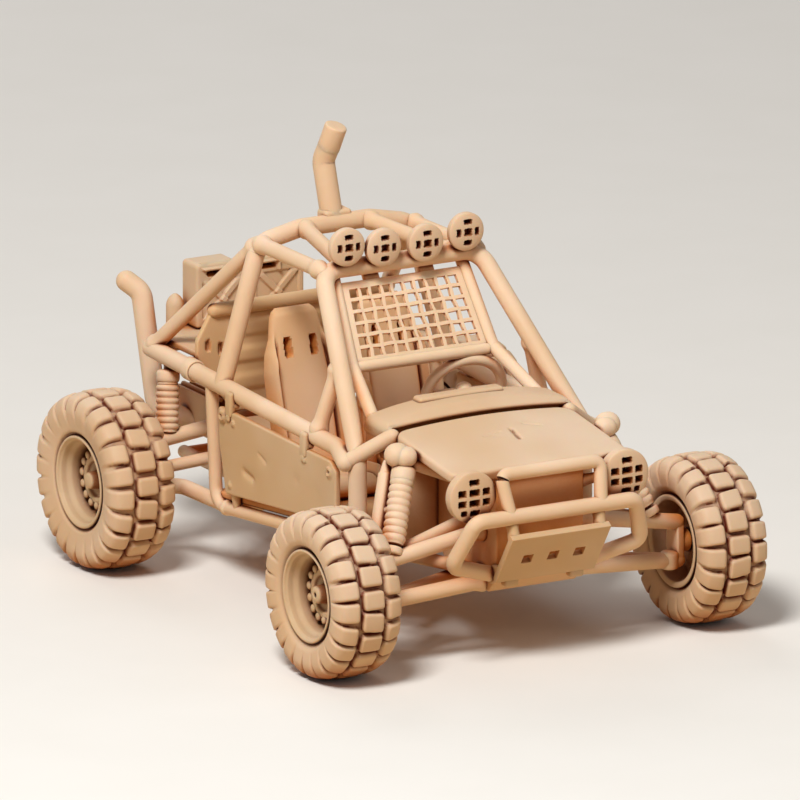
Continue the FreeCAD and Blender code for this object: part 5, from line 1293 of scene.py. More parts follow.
SPOT_SLOTS = [(0.0, 0.0, 0.62, 0.54), (1.45, 0.0, 0.34, 0.56), (-1.45, 0.0, 0.34, 0.56),
              (0.0, 1.5, 0.64, 0.36), (0.0, -1.5, 0.64, 0.36)]
SPOTS = ((-9.7, 51.8), (-3.9, 51.0), (2.9, 50.8), (9.4, 51.6))
spots = []
for x, z in SPOTS:
    spots.append(lamp((x, 30.8, z), 2.75, 0.8, SPOT_SLOTS, rings=30, sides=92))
    spots.append(tube([(x, 31.9, z - 0.3), (x, 33.0, 48.4)], 0.75))
finish_piece("roof_lamps", merge(*spots), BODY_RESIN)
print("lamps:", {name: placed[name] for name in ("roof_lamps", "headlamp_left")})

# %% [markdown]
# ## Floor
# The cabin's floor is flat sheet that lies on the lower tubes. Its height follows theirs, so the
# plate's top is the same sloping line, a little higher.

# %% Make the floor pan
FLOOR_ABOVE_TUBE, FLOOR_THICK = 2.1, 1.0


def floor_z(y):
    """Height of the floor's top: the lower tube's axis and a step up."""
    return low_z(y) + FLOOR_ABOVE_TUBE


floor_outline = rounded_outline([(-11.2, 10.2), (11.2, 10.2), (18.0, 14.2), (18.0, 54.4),
                                 (-18.0, 54.4), (-18.0, 14.2)], 0.6, spacing=0.8)
finish_piece("floor_pan", plate(floor_outline, lambda a, b: floor_z(b),
                                lambda a, b: floor_z(b) - FLOOR_THICK, 0.3, in_plan, rings=12),
             CABIN_RESIN)
print("floor height at the seats, mm:", round(floor_z(45.0), 2))

# %% [markdown]
# ## Seat back
# A bucket seat's back is one closed sheet of points: front and rear are functions of height and of
# the share across. The bolsters swell out low down, a seam runs inside each, and the head is flat
# with two slots for the belts. It is moulded resin, so there is nothing soft to simulate.

# %% Seat back
BACK_HEIGHT, HEAD_START, SLOT_AT, SLOT_HALF = 25.75, 24.0, (2.05, 20.1), (0.58, 1.4)
BACK_COLUMNS, BACK_ROWS, HEAD_ROWS = 68, 92, 14
BACK_THICK, BACK_BOLSTER, BACK_PAD, CREASE, SLOT_DEPTH = 1.8, 2.2, 0.3, 0.6, 1.75


def seat_back_half(height):
    """Half the back's width."""
    return np.interp(height, (0.0, 16.5, 19.3, 21.6, 24.2, 25.2, 25.8),
                     (5.8, 5.8, 5.3, 4.3, 3.8, 3.4, 2.7))


def seat_back():
    """front = swell + pad - crease, times an edge that rounds off: (1 - |share|^7)^0.5."""
    head = np.sin(np.linspace(0, math.pi / 2, HEAD_ROWS + 1)[1:])
    height = np.concatenate([np.linspace(0.7, HEAD_START, BACK_ROWS - HEAD_ROWS),
                             HEAD_START + (BACK_HEIGHT - HEAD_START) * head])
    s, h = np.meshgrid(np.sin(np.linspace(-math.pi / 2, math.pi / 2, BACK_COLUMNS)), height)
    half = seat_back_half(h)
    seam = half - np.interp(h, (0.0, 16.5, 19.5, 22.0), (1.45, 1.45, 1.2, 0.6))
    low = ease((23.0 - h) / 5.5)
    past_seam = np.abs(s) * half - seam
    roll = ease(past_seam / 0.5) * low
    crease = CREASE * np.exp(-((past_seam + 0.1) / 0.24) ** 2) * low
    pad = BACK_PAD * np.cos(np.clip(s * half / seam, -1, 1) * math.pi / 2) * (1 - roll)
    slot = rounded_box(np.abs(s * half) - SLOT_AT[0], h - SLOT_AT[1], *SLOT_HALF, 0.35)
    thick = BACK_THICK + BACK_BOLSTER * roll + pad - crease - SLOT_DEPTH * ease(-slot / 0.16)
    edge = np.sqrt(np.maximum(1 - np.abs(s) ** 7, 0)) * np.sqrt(
        np.clip((BACK_HEIGHT - h) / 1.2 + 0.1, 0.1, 1))
    front = 1.0 + (thick - 0.75) * edge
    back = 1.0 - 0.95 * edge
    points = np.concatenate([np.stack([s * half, -front, h], axis=2),
                             np.stack([(s * half)[:, ::-1], -back[:, ::-1], h], axis=2)], axis=1)
    return closed_surface(points)


print("seat back points:", len(seat_back()[0]))

# %% [markdown]
# ## Seat cushion, and both seats
# The cushion is made the same way, but lies forward: its two bolsters run along it and its front
# edge is rounded. Back and cushion meet in one piece, which is leaned to the floor's slope.

# %% Make the seats
SEAT_PAN, PAN_THICK, PAN_BOLSTER, PAN_PAD, PAN_SEAM, PAN_MIDDLE = 12.5, 3.0, 1.6, 0.35, 0.45, 1.6
SEAT_RECLINE, FLOOR_SLOPE, SEAT_PLACE = 10.0, -5.81, (7.1, 45.4, 13.12)


def seat_pan():
    """top = swell of the bolsters + pad - seam, times an edge that rounds off at the front."""
    reach = np.concatenate([[0.0], np.linspace(0.4, SEAT_PAN - 1.2, 26),
                            SEAT_PAN - 1.1 + 1.1 * np.sin(np.linspace(0.05, math.pi / 2, 12))])
    s, y = np.meshgrid(np.sin(np.linspace(-math.pi / 2, math.pi / 2, 48)), reach)
    half = 5.7 - 0.9 * ease((y - 11.0) / 1.5)
    roll = ease((np.abs(s) * half - 3.9) / 0.7)
    swell = PAN_THICK + PAN_BOLSTER * roll + PAN_PAD * np.cos(s * math.pi / 2) * (1 - roll)
    swell = swell - PAN_SEAM * np.exp(-((np.abs(s) * half - 4.0) / 0.3) ** 2)
    edge = np.sqrt(np.maximum(1 - np.abs(s) ** 9, 0)) * np.sqrt(np.clip((SEAT_PAN - y) / 1.1, 0, 1))
    top = PAN_MIDDLE + (swell - PAN_MIDDLE) * edge
    low = PAN_MIDDLE - 1.55 * edge
    points = np.concatenate([np.stack([s * half, -y, top], axis=2),
                             np.stack([(s * half)[:, ::-1], -y[:, ::-1], low[:, ::-1]], axis=2)],
                            axis=1)
    return closed_surface(points)


one_seat = merge(leaned(seat_back(), -SEAT_RECLINE, (0, 0, 0)), seat_pan())
for side_name, side in (("left", 1), ("right", -1)):
    place = np.array(SEAT_PLACE) * (side, 1, 1)
    finish_piece("seat_" + side_name, leaned(one_seat, FLOOR_SLOPE, place), SEAT_RESIN)
print("seat triangles:", placed["seat_left"])

# %% [markdown]
# ## Steering wheel and gear lever
# The steering wheel's rim is a torus round the column's axis, with a turned hub and three spokes.
# The gear lever is one turned outline: a boot, a rod and a knob.

# %% Make the controls
wheel_centre, wheel_anchor = np.array((7.9, 28.9, 29.2)), np.array((5.0, 9.7, 20.4))
WHEEL_REACH, WHEEL_GRIP, SPOKE_REACH = 5.6, 0.8, 5.7
column_way = unit(wheel_anchor - wheel_centre)
wheel_across = unit(np.cross(column_way, (0, 0, 1)))
wheel_down = np.cross(column_way, wheel_across)
wheel_down = wheel_down if wheel_down[2] < 0 else -wheel_down


def torus(centre, reach, girth_radius, across, down, axis, around=96, sides=20):
    """centre + (reach + r cos g) * (across cos a + down sin a) + r sin g * axis."""
    loop = np.linspace(0, 2 * math.pi, around, endpoint=False)[:, None]
    girth = np.linspace(0, 2 * math.pi, sides, endpoint=False)[None, :]
    out = reach + girth_radius * np.cos(girth)
    return ring_surface(centre + (out * np.cos(loop))[..., None] * across
                        + (out * np.sin(loop))[..., None] * down
                        + (girth_radius * np.sin(girth) + 0 * loop)[..., None] * axis)


hub_outline = softened([(-0.9, 0.02), (-0.9, 0.9), (-0.4, 1.3), (0.6, 1.3), (1.4, 0.7), (1.4, 0.02)],
                       0.25)
spokes = [tube([wheel_centre, wheel_centre + way * SPOKE_REACH], 0.5, sides=16)
          for way in (wheel_across, -wheel_across, wheel_down)]
finish_piece("steering_wheel", merge(
    torus(wheel_centre, WHEEL_REACH, WHEEL_GRIP, wheel_across, wheel_down, column_way),
    turned(hub_outline, wheel_centre, column_way), *spokes,
    tube([wheel_centre, wheel_anchor], 0.7, sides=24)), BRIGHTENED_RESIN)

lever = turned(softened([(0.0, 0.02), (0.0, 1.4), (4.56, 1.08), (6.1, 0.7), (10.6, 0.7), (11.25, 1.18),
                         (13.7, 1.05), (14.9, 0.62), (15.2, 0.02)], 0.35), (0, 0, 0), (0, 0, 1))
finish_piece("gear_lever", leaned(lever, FLOOR_SLOPE, (0, 41.6, 13.49)), CABIN_RESIN)
print("controls:", {name: placed[name] for name in ("steering_wheel", "gear_lever")})

# %% [markdown]
# ## Windscreen net
# Instead of glass there is a net: flat strands in a thick border. It is a sheet of cells again. The
# grid's lines come in pairs, one on each side of a strand, with one more down its middle. The
# surface is then moved in and out by a cosine along the diagonal, so that the strands take turns to
# lie on top, and the bevel rolls their edges.

# %% Net grid
NET_ROWS, NET_COLUMNS, STRAND, BORDER, NET_THICK = 6, 10, 0.5, 1.1, 0.6
NET_WIDTH, WEAVE = 21.5, 0.2
CELLS_PER_GAP = 2
net_top, net_low = np.array((9.6, 33.0, 46.1)), np.array((10.7, 26.4, 35.8))
net_height = math.hypot(net_top[1] - net_low[1], net_top[2] - net_low[2])
net_up = np.array((0, net_top[1] - net_low[1], net_top[2] - net_low[2])) / net_height
net_normal = np.array((0, -net_up[2], net_up[1]))


def strand_lines(count, whole):
    """Cell edges along one way: a border, then holes and strands in turn, and a border."""
    clear = whole - 2 * BORDER
    pitch = (clear + STRAND) / count
    lines = [0.0, BORDER]
    for number in range(count):
        lines += [BORDER + (number + 1) * pitch - STRAND, BORDER + (number + 1) * pitch]
    lines[-1] = whole
    spread, is_hole = [lines[0]], []
    for number, (start, stop) in enumerate(zip(lines, lines[1:])):
        spread += list(np.linspace(start, stop, CELLS_PER_GAP + 1)[1:])
        is_hole += [number % 2 == 1] * CELLS_PER_GAP
    return np.array(spread), np.array(is_hole)


up_lines, up_open = strand_lines(NET_ROWS, net_height)
across_lines, across_open = strand_lines(NET_COLUMNS, NET_WIDTH)
net_solid = ~(up_open[:, None] & across_open[None, :])
print("holes in the net:", int((~net_solid).sum()) // CELLS_PER_GAP ** 2)

# %% [markdown]
# ## Net surface and its frame
# The net is narrower at its top, so a corner's place across is a share of the width at its height.
# It hangs from two straps, a roll closes its lower edge, and two bent legs carry it on down to the
# cowl's ends.

# %% Make the net
def net_place(column, row, height):
    """Share across the net to X, share up it to Y and Z, then the weave along the normal."""
    up = up_lines[row]
    half = net_low[0] + (net_top[0] - net_low[0]) * up / net_height
    share = across_lines[column] / NET_WIDTH
    inner = (share - BORDER / NET_WIDTH) / (1 - 2 * BORDER / NET_WIDTH)
    clear = half - BORDER
    x = np.where(inner < 0, -half + share * NET_WIDTH,
                 np.where(inner > 1, half - (1 - share) * NET_WIDTH, -clear + 2 * clear * inner))
    phase = np.pi * (inner * NET_COLUMNS + up / net_height * NET_ROWS)
    inside = np.clip(np.minimum(np.minimum(inner, 1 - inner) * NET_COLUMNS,
                                np.minimum(up, net_height - up) / 1.6), 0, 1)
    base = np.array((0, net_low[1], net_low[2])) + up[:, None] * net_up
    base[:, 0] = x
    return base + (height + WEAVE * np.cos(phase) * inside - NET_THICK)[:, None] * net_normal


net_back = -0.4 * net_normal
low_roll = tube([(-10.6, 26.4, 35.7) + net_back, (10.6, 26.4, 35.7) + net_back], 0.85)
leg = tube([point + net_back for point in ((10.3, 33.4, 46.9), (11.3, 26.3, 36.0), (13.2, 17.2, 31.2))],
           0.92, bend=3.0)
strap_outline = rounded_outline([(-1.25, -0.9), (1.25, -0.9), (1.25, 2.9), (-1.25, 2.9)], 0.3)
strap = plate(strap_outline, 0.4, -0.4, 0.25,
              plane_at((4.4, 33.0, 45.9) + net_back, (1, 0, 0), net_up), rings=3)
net = finish_piece("windscreen_net", merge(cell_sheet(net_solid, net_place, NET_THICK), low_roll,
                                           both(merge(leg, strap))), BRIGHTENED_RESIN)
bevel(net, 0.13, 2)
print("net triangles before its bevel:", placed["windscreen_net"])

# %% [markdown]
# ## Side armour
# A flat panel hangs from the side rail on two clamps. The photograph shows it knocked about: its
# face has a deep gouge, a fainter one and four shallow dents, a bolted boss near each top corner,
# and three small bolt heads.

# %% Side armour face
PANEL_OUT, PANEL_IN = 19.7, 18.8
PANEL_DENTS = (((41.2, 17.3), (2.4, 1.4), 0.16), ((37.3, 20.8), (1.6, 1.0), 0.12),
               ((22.0, 19.0), (2.4, 2.0), 0.1), ((27.6, 20.2), (1.0, 0.8), 0.1))
PANEL_BOSSES = ((48.5, 24.6, 1.05, 0.5), (18.2, 23.6, 0.95, 0.3))
PANEL_BOLTS = ((46.6, 14.9), (45.7, 24.1), (25.3, 23.7))


def side_face(a, b):
    """The panel's outer face, mm from the middle plane: flat, less its marks, plus its bosses."""
    face = PANEL_OUT - sum(dent(a, b, *marks) for marks in PANEL_DENTS)
    face = face - scratch(a, b, (42.7, 17.7), (40.4, 17.2), 0.45, 0.4)
    face = face - scratch(a, b, (38.4, 21.3), (36.6, 20.5), 0.3, 0.14)
    for y, z, radius, rise in PANEL_BOSSES:
        away = np.hypot(a - y, b - z)
        face = face + rise * ease((radius - away) / 0.3) - 0.45 * ease((0.36 - away) / 0.25)
    for y, z in PANEL_BOLTS:
        face = face + 0.25 * ease((0.62 - np.hypot(a - y, b - z)) / 0.3)
    return face


print("depth at the panel's gouge, mm:", round(PANEL_OUT - float(side_face(41.55, 17.45)), 2))

# %% [markdown]
# ## Panel, clamps and pegs
# Each clamp is three soft blocks: a strap down from the rail, a tongue behind and a lip on the
# panel. Two pegs hold the panel off the side hoop's lower run.

# %% Make the side armour
panel_outline = rounded_outline([(16.5, 16.4), (16.5, 24.0), (18.2, 25.2), (50.2, 25.6), (49.9, 20.5),
                                 (48.0, 13.3)], 0.6, spacing=0.36)
armour_parts = [plate(panel_outline, side_face, PANEL_IN, 0.3, in_side, rings=66)]
for y in (25.6, 46.9):
    z = rail_z(y)
    armour_parts += [block((19.0, y - 0.85, z - 3.0), (20.0, y + 0.85, z + 0.5), 0.38),
                     block((18.3, y - 0.85, z - 1.9), (19.8, y + 0.85, z - 0.9), 0.38),
                     block((19.3, y - 0.5, z - 3.7), (20.05, y + 0.5, z - 2.6), 0.3)]
for y, z in ((18.5, 18.0), (46.8, 14.9)):
    armour_parts.append(tube([(HALF, y, low_z(y)), (19.0, y, z)], 0.7, sides=20))
finish_pair("side_armour", merge(*armour_parts), PLATE_RESIN)
print("side armour triangles:", placed["side_armour_left"])

# %% [markdown]
# ## Shock body
# A coil-over shock is a rod with a ridged sleeve. It is turned from one outline, whose coil is
# radius(t) = body + ridge * |sin(pi * turns * t)|^0.8. At this scale a moulded shock has rings, not
# a free spring, so a turned surface is enough.

# %% Shock helper
POINTS_PER_TURN = 10


def coil_shock(top, foot, coil_radius, turns, start, stop, rod_radius, ridge=0.26):
    """A rod from top to foot with a ridged sleeve from start to stop, in shares of its length."""
    top, foot = np.asarray(top, float), np.asarray(foot, float)
    length = np.linalg.norm(foot - top)
    start, stop = start * length, stop * length
    share = np.linspace(0, 1, turns * POINTS_PER_TURN)
    body = coil_radius - ridge + ridge * np.abs(np.sin(math.pi * turns * share)) ** 0.8
    profile = [(0.0, 0.02), (0.0, rod_radius), (start - 0.25, rod_radius)]
    profile += [(start, coil_radius * 0.8), (start + 0.3, coil_radius * 0.9)]
    profile += list(zip(start + 0.4 + share * (stop - start - 0.8), body))
    profile += [(stop - 0.1, coil_radius * 0.85), (stop + 0.2, rod_radius), (length, rod_radius),
                (length, 0.02)]
    return turned(profile, top, unit(foot - top), sides=36)


print("points on a shock:", len(coil_shock((0, 0, 10), (0, 0, 0), 1.7, 7, 0.2, 0.9, 0.7)[0]))

# %% [markdown]
# ## Arms and knuckles
# Each wheel hangs on an upright plate, the knuckle, with a boss and a spindle. Two welded tubes at
# the front, above and below, make a triangle from the box to each knuckle. At the rear one arm goes
# straight across and the other trails from the cabin's lower tube.

# %% Make the arms and the knuckles
KNUCKLE_X, HUB_FACE, SPINDLE_TIP = 25.8, 27.3, 29.7
FRONT_AXLE_Z, REAR_AXLE_Z = 12.0, 12.74
FRONT_PLATE = [(-1.7, -3.4), (-1.9, 0), (-1.7, 3.8), (0.7, 3.8), (1.5, 1), (1.5, -1), (0.7, -3.4)]
REAR_PLATE = [(-2.0, -3.6), (-2.3, 0), (-1.8, 4.6), (1.8, 4.6), (2.3, 0), (2.0, -3.6)]


def knuckle(outline, y, z):
    """An upright plate, the boss beside it and the spindle into the wheel."""
    corners = [(y + across, z + up) for across, up in outline]
    upright = plate(rounded_outline(corners, 0.5, spacing=0.35), KNUCKLE_X + 0.18, KNUCKLE_X - 0.98,
                    0.28, in_side, rings=4)
    boss = barrel((KNUCKLE_X + 0.1, y, z), (HUB_FACE - 0.02, y, z), 1.65, 0.2)
    pin = barrel((KNUCKLE_X, y, z), (SPINDLE_TIP, y, z), 0.97, 0.12, sides=32)
    return merge(upright, boss, pin)


front_upper = merge(tube([(25.2, -0.8, 15.0), (6.0, -2.6, 18.7)], 1.12, fillets=(0, 0.4)),
                    tube([(24.4, -0.8, 15.1), (6.0, 2.8, 18.9)], 1.0, fillets=(0, 0.4)))
front_lower = merge(tube([(25.4, -0.8, 9.5), (6.0, -2.6, 11.3)], 1.12, fillets=(0, 0.4)),
                    tube([(24.4, -0.8, 9.6), (6.0, 2.8, 11.5)], 1.0, fillets=(0, 0.4)),
                    barrel((24.0, -0.95, 8.4), (24.0, -0.95, 10.9), 1.35, 0.5))
rear_upper = tube([(25.6, 65.24, 16.6), (3.4, 65.24, 19.0)], 1.1, fillets=(0, 0.5))
rear_lower = tube([(17.5, 52.6, 10.5), (18.7, 62.24, 10.9), (25.4, 64.6, 11.2)], 1.1, bend=1.8)
finish_pair("front_arms", merge(front_upper, front_lower), TUBE_RESIN)
finish_pair("front_knuckle", knuckle(FRONT_PLATE, 0.0, FRONT_AXLE_Z), TUBE_RESIN)
finish_pair("rear_arms", merge(rear_upper, rear_lower), TUBE_RESIN)
finish_pair("rear_knuckle", knuckle(REAR_PLATE, WHEELBASE, REAR_AXLE_Z), TUBE_RESIN)
print("arm triangles:", {name: placed[name] for name in ("front_arms_left", "rear_arms_left")})

# %% [markdown]
# ## Half shafts
# A driven rear wheel needs a shaft from the gearbox. It swells to a joint boot at its inner end.

# %% Make the half shafts
shaft_way = unit(np.array((3.2, WHEELBASE, 14.0)) - (25.6, WHEELBASE, REAR_AXLE_Z))
shaft_profile = softened([(0.0, 0.02), (0.0, 0.88), (19.2, 0.9), (21.4, 1.85), (22.3, 1.85),
                          (22.3, 0.02)], 0.25)
shaft = turned(shaft_profile, (25.6, WHEELBASE, 12.76), shaft_way, sides=40)
finish_piece("half_shafts", both(shaft), TUBE_RESIN)
print("half shaft triangles:", placed["half_shafts"])

# %% [markdown]
# ## Front shocks
# The front shock's upper eye shows in the photograph as two balls in front of each other, the
# brightest part of the shock. A rod ties it to the box, and its bottle leans out behind on a clip.

# %% Make the front shocks
front_top, front_foot = np.array((15.4, 4.2, 28.6)), np.array((20.9, -1.3, 16.2))
outer_ball, inner_ball = np.array((16.85, 4.1, 29.1)), np.array((16.0, 3.2, 28.9))
BALL_SPREAD = np.array((0.15, 0, 0))
bottle_beside = unit(np.array((1.2, 2.0, 0.0))) * 2.75


def up_front_shock(share):
    """The point at this share of the way from the foot to the top."""
    return front_foot + (front_top - front_foot) * share


bottle_low = up_front_shock(0.14) + bottle_beside
bottle_high = up_front_shock(0.96) + bottle_beside
bottle_length = np.linalg.norm(bottle_high - bottle_low)
bottle = turned(softened([(0.0, 0.02), (0.0, 0.45), (0.7, 1.04), (bottle_length - 2.3, 1.04),
                          (bottle_length - 2.2, 0.88), (bottle_length - 0.4, 0.6),
                          (bottle_length, 0.02)], 0.25),
                bottle_low, unit(bottle_high - bottle_low), sides=32)
front_shock = merge(
    coil_shock(front_top, front_foot, 1.7, 9, 0.2, 0.88, 0.85, ridge=0.2),
    barrel(up_front_shock(0.9), up_front_shock(0.73), 1.74, 1.0),
    tube([outer_ball - BALL_SPREAD, outer_ball + BALL_SPREAD], 1.7),
    tube([inner_ball - BALL_SPREAD, inner_ball + BALL_SPREAD], 1.5),
    tube([front_top - (1.0, 0, 1.0), (6.0, 4.1, 24.0)], 0.95),
    barrel(up_front_shock(0.02), up_front_shock(0.1), 1.6, 0.4),
    bottle, tube([up_front_shock(0.45), up_front_shock(0.45) + bottle_beside], 0.6, sides=20))
finish_pair("front_shock", front_shock, TUBE_RESIN)
print("front shock triangles:", placed["front_shock_left"])

# %% [markdown]
# ## Rear shocks
# The rear shocks stand almost upright behind the cabin, with fewer rings and no bottle.

# %% Make the rear shocks
rear_top, rear_foot = np.array((17.8, 67.8, 28.1)), np.array((19.4, 65.34, 17.5))
collar = barrel(rear_top * 0.86 + rear_foot * 0.14, rear_top * 0.68 + rear_foot * 0.32, 1.66, 0.75)
finish_pair("rear_shock", merge(coil_shock(rear_top, rear_foot, 1.68, 7, 0.3, 0.95, 0.65), collar),
            TUBE_RESIN)
print("rear shock triangles:", placed["rear_shock_left"])

# %% [markdown]
# ## Engine and gearbox
# The photograph shows only a ribbed block behind the near shock; the rest is guessed. The block is
# one cross section drawn out along the car, and its cooling grooves are part of that section.

# %% Make the engine and the gearbox
ENGINE_FRONT, ENGINE_REAR = 68.4, 80.0


def ribbed_section(half_width, low, high, shoulder, ribs, groove, width):
    """A block's outline, both sides, with square grooves 3 * groove deep cut into its shoulders."""
    right = [(4.6, low - 1.2), (5.4, low + 0.8), (half_width, low + 2.4), (half_width, shoulder)]
    for centre in ribs:
        right += [(centre + width, shoulder), (centre + width, shoulder - groove * 3),
                  (centre - width, shoulder - groove * 3), (centre - width, shoulder)]
    right += [(6.2, shoulder + 1.2), (5.4, high)]
    return right + [(-x, z) for x, z in reversed(right)]


engine_outline = rounded_outline(ribbed_section(10.6, 12.6, 27.0, 20.8, (9.5, 8.1, 6.9), 0.5, 0.35),
                                 0.22, spacing=0.4)
engine_body = plate(engine_outline, ENGINE_REAR, ENGINE_FRONT, 0.35, in_cross, rings=4)
covers = [block((x - 2.0, ENGINE_FRONT + 1.2, 25.4), (x + 2.0, ENGINE_REAR - 1.4, 27.2), 0.6)
          for x in (-2.8, 2.8)]
finish_piece("engine", merge(engine_body, *covers), WALL_RESIN)

gearbox_outline = rounded_outline([(58.4, 11.4), (58.4, 14.6), (61.5, 16.8), (63.2, 20.4),
                                   (68.3, 20.4), (68.3, 11.4)], 0.6, spacing=0.4)
finish_piece("gearbox", merge(plate(gearbox_outline, 4.2, -4.2, 0.5, in_side, rings=5),
                              block((-3.0, 59.2, 13.2), (3.0, 61.2, 15.2), 0.5)), CABIN_RESIN)
print("drivetrain triangles:", {name: placed[name] for name in ("engine", "gearbox")})

# %% [markdown]
# ## Cradle
# Two long tubes and three cross tubes carry the engine, with a pad for the gearbox and two blocks.
# It is welded from straight tube, as the frame is, so it is made with the same helper.

# %% Make the engine cradle
CRADLE_Z, CRADLE_HALF, CRADLE_RADIUS = 10.4, 8.6, 0.92
cradle_parts = [both(tube([(CRADLE_HALF, 50.6, CRADLE_Z), (CRADLE_HALF, 79.8, CRADLE_Z)],
                          CRADLE_RADIUS))]
for y in (60.6, 72.5, 79.0):
    cradle_parts.append(tube([(CRADLE_HALF, y, CRADLE_Z), (-CRADLE_HALF, y, CRADLE_Z)], CRADLE_RADIUS,
                             round_ends=False))
cradle_parts.append(barrel((0, 60.6, 10.4), (0, 60.6, 12.35), 1.2, 0.2))
cradle_parts.append(both(block((2.0, 71.7, 10.4), (4.0, 73.3, 11.95), 0.2)))
finish_piece("engine_cradle", merge(*cradle_parts), TUBE_RESIN)
print("cradle triangles:", placed["engine_cradle"])

# %% [markdown]
# ## Exhaust and intake stack
# The exhaust climbs beside the engine and turns out at the top. The stack on the roof is a bent
# pipe in a collar, with a wider end.

# %% Make the exhaust and the stack
exhaust_run = [(-9.3, 74.0, 16.0), (-14.4, 77.4, 18.2), (-15.4, 79.9, 34.6), (-17.0, 81.4, 36.1)]
finish_piece("exhaust", tube(exhaust_run, 1.5, bend=2.4, sides=36), TUBE_RESIN)
stack_run = [(0, 52.4, 49.6), (0, 55.0, 57.6), (0.5, 54.25, 59.8)]
stack_parts = [tube(stack_run, 1.6, bend=2.2, sides=36, round_ends=False),
               block((-1.75, 51.1, 49.3), (2.55, 53.9, 51.15), 0.5),
               barrel((0.4, 54.4, 59.2), (1.15, 53.3, 62.9), 1.62, 0.35)]
finish_piece("centre_stack", merge(*stack_parts), TUBE_RESIN)
print("pipe triangles:", {name: placed[name] for name in ("exhaust", "centre_stack")})

# %% [markdown]
# ## Bulkhead
# The wall behind the seats is pressed sheet: a thick rolled top, broad soft beads across it and a
# bevelled end on each side with two upright vents. Its front face is a height over (x, z):
# wall + bead * sum of exp(-((z - bead height) / reach)^4). An apron slopes forward to the floor.

# %% Make the bulkhead
WALL_FRONT, WALL_BACK = 61.0, 61.9
BEADS, BEAD_RISE, BEAD_REACH = (25.2, 29.2, 33.0), 0.36, 1.15
VENTS, VENT_HALF, VENT_DEPTH = ((15.2, 31.1), (13.2, 30.5)), (0.42, 0.85), 0.55
wall_outline = rounded_outline([(-10.9, 21.1), (10.9, 21.1), (16.9, 28.7), (16.9, 32.0),
                                (14.5, 36.2), (-14.5, 36.2), (-16.9, 32.0), (-16.9, 28.7)],
                               0.5, spacing=0.4)


def wall_face(a, b):
    """The front face, as a distance towards the nose: beads stand out, vents go in."""
    beads = sum(np.exp(-((b - height) / BEAD_REACH) ** 4) for height in BEADS)
    face = -WALL_FRONT + BEAD_RISE * beads * ease((12.2 - np.abs(a)) / 1.2)
    for x, z in VENTS:
        vent = rounded_box(np.abs(a) - x, b - z, *VENT_HALF, 0.2)
        face = face - VENT_DEPTH * ease(-vent / 0.18)
    return face


wall = plate(wall_outline, wall_face, -WALL_BACK, 0.25, facing_forward, rings=76)
top_roll = tube([(-14.0, 61.3, 36.1), (14.0, 61.3, 36.1)], 1.05, sides=32)
apron_slope = math.degrees(math.atan2(21.6 - 14.8, 61.6 - 54.6))
apron = leaned(block((-10.9, 0.0, 0.0), (10.9, 11.2, 1.1), 0.3), apron_slope,
               (0, 54.3, floor_z(54.3) - 0.9))
finish_piece("rear_bulkhead", merge(wall, top_roll, apron), WALL_RESIN)
print("bulkhead triangles:", placed["rear_bulkhead"])

# %% [markdown]
# ## Deck
# A flat tray with two cut-off corners lies over the engine and carries the cans.

# %% Make the deck
DECK_TOP, DECK_UNDERSIDE, CAN_BASE = 30.12, 29.16, 30.14
deck_outline = rounded_outline([(-16.4, 62.0), (16.4, 62.0), (16.4, 74.0), (12.9, 77.5), (-12.9, 77.5),
                                (-16.4, 74.0)], 0.4, spacing=0.6)
finish_piece("rear_deck", plate(deck_outline, DECK_TOP, DECK_UNDERSIDE, 0.3, in_plan, rings=10),
             PLATE_RESIN)
print("deck triangles:", placed["rear_deck"])

# %% [markdown]
# ## Cans
# A fuel can is a pressed box with a raised cross on its face, a cut-off corner, and a bar with a
# finger slot below it. Face and slot are one height over the can's outline. The canister beside
# them is turned.

# %% Make the cans
CAN_WIDTH, CAN_DEPTH, CAN_HEIGHT, CAN_Y, CROSS_Z = 8.6, 4.6, 9.4, 74.8, 4.0
CROSS_HALF_WIDTH, GRIP_Y = 0.62, 73.3


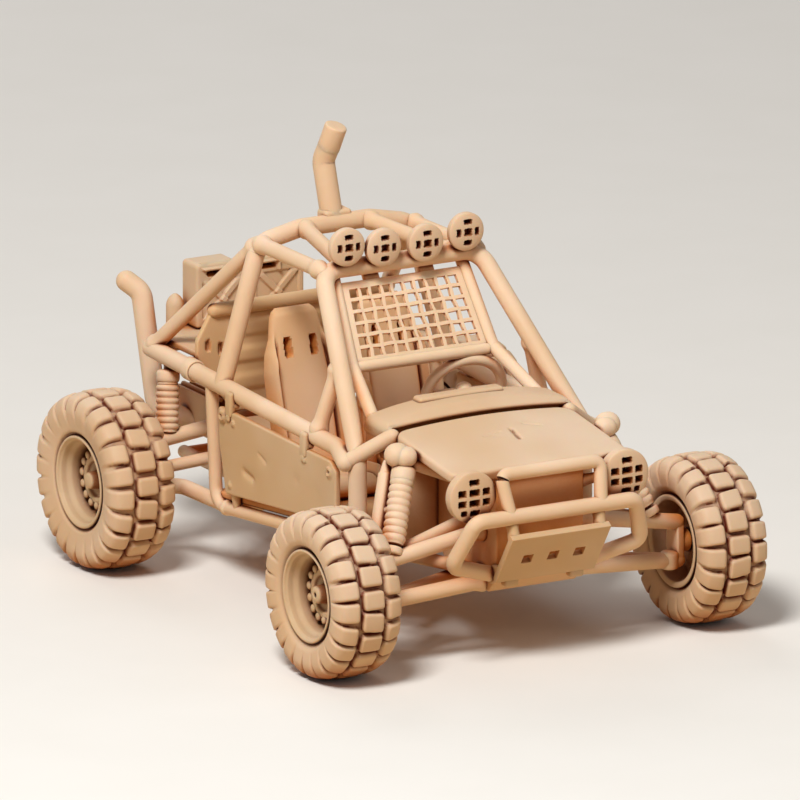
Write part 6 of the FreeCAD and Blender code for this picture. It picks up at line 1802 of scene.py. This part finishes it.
def can_face(a, b):
    """The pressed front of a can: a panel with a raised cross, and a finger slot under the grip."""
    inset = rounded_box(a, b - CROSS_Z, CAN_WIDTH / 2 - 0.8, 3.1, 0.5)
    face = CAN_DEPTH / 2 - 0.12 - 0.22 * ease(-inset / 0.3)
    for slope in (1, -1):
        away = np.abs(b - CROSS_Z - slope * a) / math.sqrt(2)
        face = face + 0.34 * ease((CROSS_HALF_WIDTH - away) / 0.3) * ease(-inset / 0.4)
    slot = rounded_box(a + 1.5, b - CAN_HEIGHT + 1.5, 1.2, 0.42, 0.35)
    bar = rounded_box(a + 1.5, b - CAN_HEIGHT + 0.75, 2.0, 0.32, 0.3)
    post = rounded_box(a - 0.15, b - CAN_HEIGHT + 1.5, 0.34, 0.9, 0.3)
    lip = np.maximum(ease(-bar / 0.25), ease(-post / 0.25))
    return face + 0.5 * lip - 1.7 * ease(-slot / 0.2)


def can(centre_x):
    """One can that stands on the deck, its middle at this X."""
    half = CAN_WIDTH / 2
    outline = rounded_outline([(-half, 0.02), (half, 0.02), (half, CAN_HEIGHT - 2.0),
                               (half - 2.4, CAN_HEIGHT), (0.3 - half, CAN_HEIGHT),
                               (-half, CAN_HEIGHT - 0.4)], 0.45, spacing=0.28)

    def stand(a, b, height):
        """a across from the can's middle, b up from the deck, height towards the nose."""
        return np.stack([centre_x + a, CAN_Y - height, CAN_BASE + b], axis=-1)

    grip_z = CAN_BASE + CAN_HEIGHT - 0.42
    grip = tube([(centre_x - half + 0.9, GRIP_Y, grip_z), (centre_x + 1.4, GRIP_Y, grip_z)], 0.42,
                sides=20, fillets=(0.2, 0.2))
    return merge(plate(outline, can_face, -CAN_DEPTH / 2, 0.45, stand, rings=54), grip)


finish_piece("fuel_can_right", can(-6.2), PLATE_RESIN)
finish_piece("fuel_can_left", can(2.6), PLATE_RESIN)
canister_profile = softened([(0.02, 0.02), (0.02, 1.28), (3.4, 1.28), (4.2, 0.95), (4.75, 0.3),
                             (4.78, 0.02)], 0.4)
finish_piece("canister", turned(canister_profile, (-12.2, 75.94, CAN_BASE), (0, 0, 1)), PLATE_RESIN)
print("can triangles:", {name: placed[name] for name in ("fuel_can_left", "canister")})

# %% Print the triangle count
print("triangles:", sum(placed.values()), "in", len(placed), "pieces")
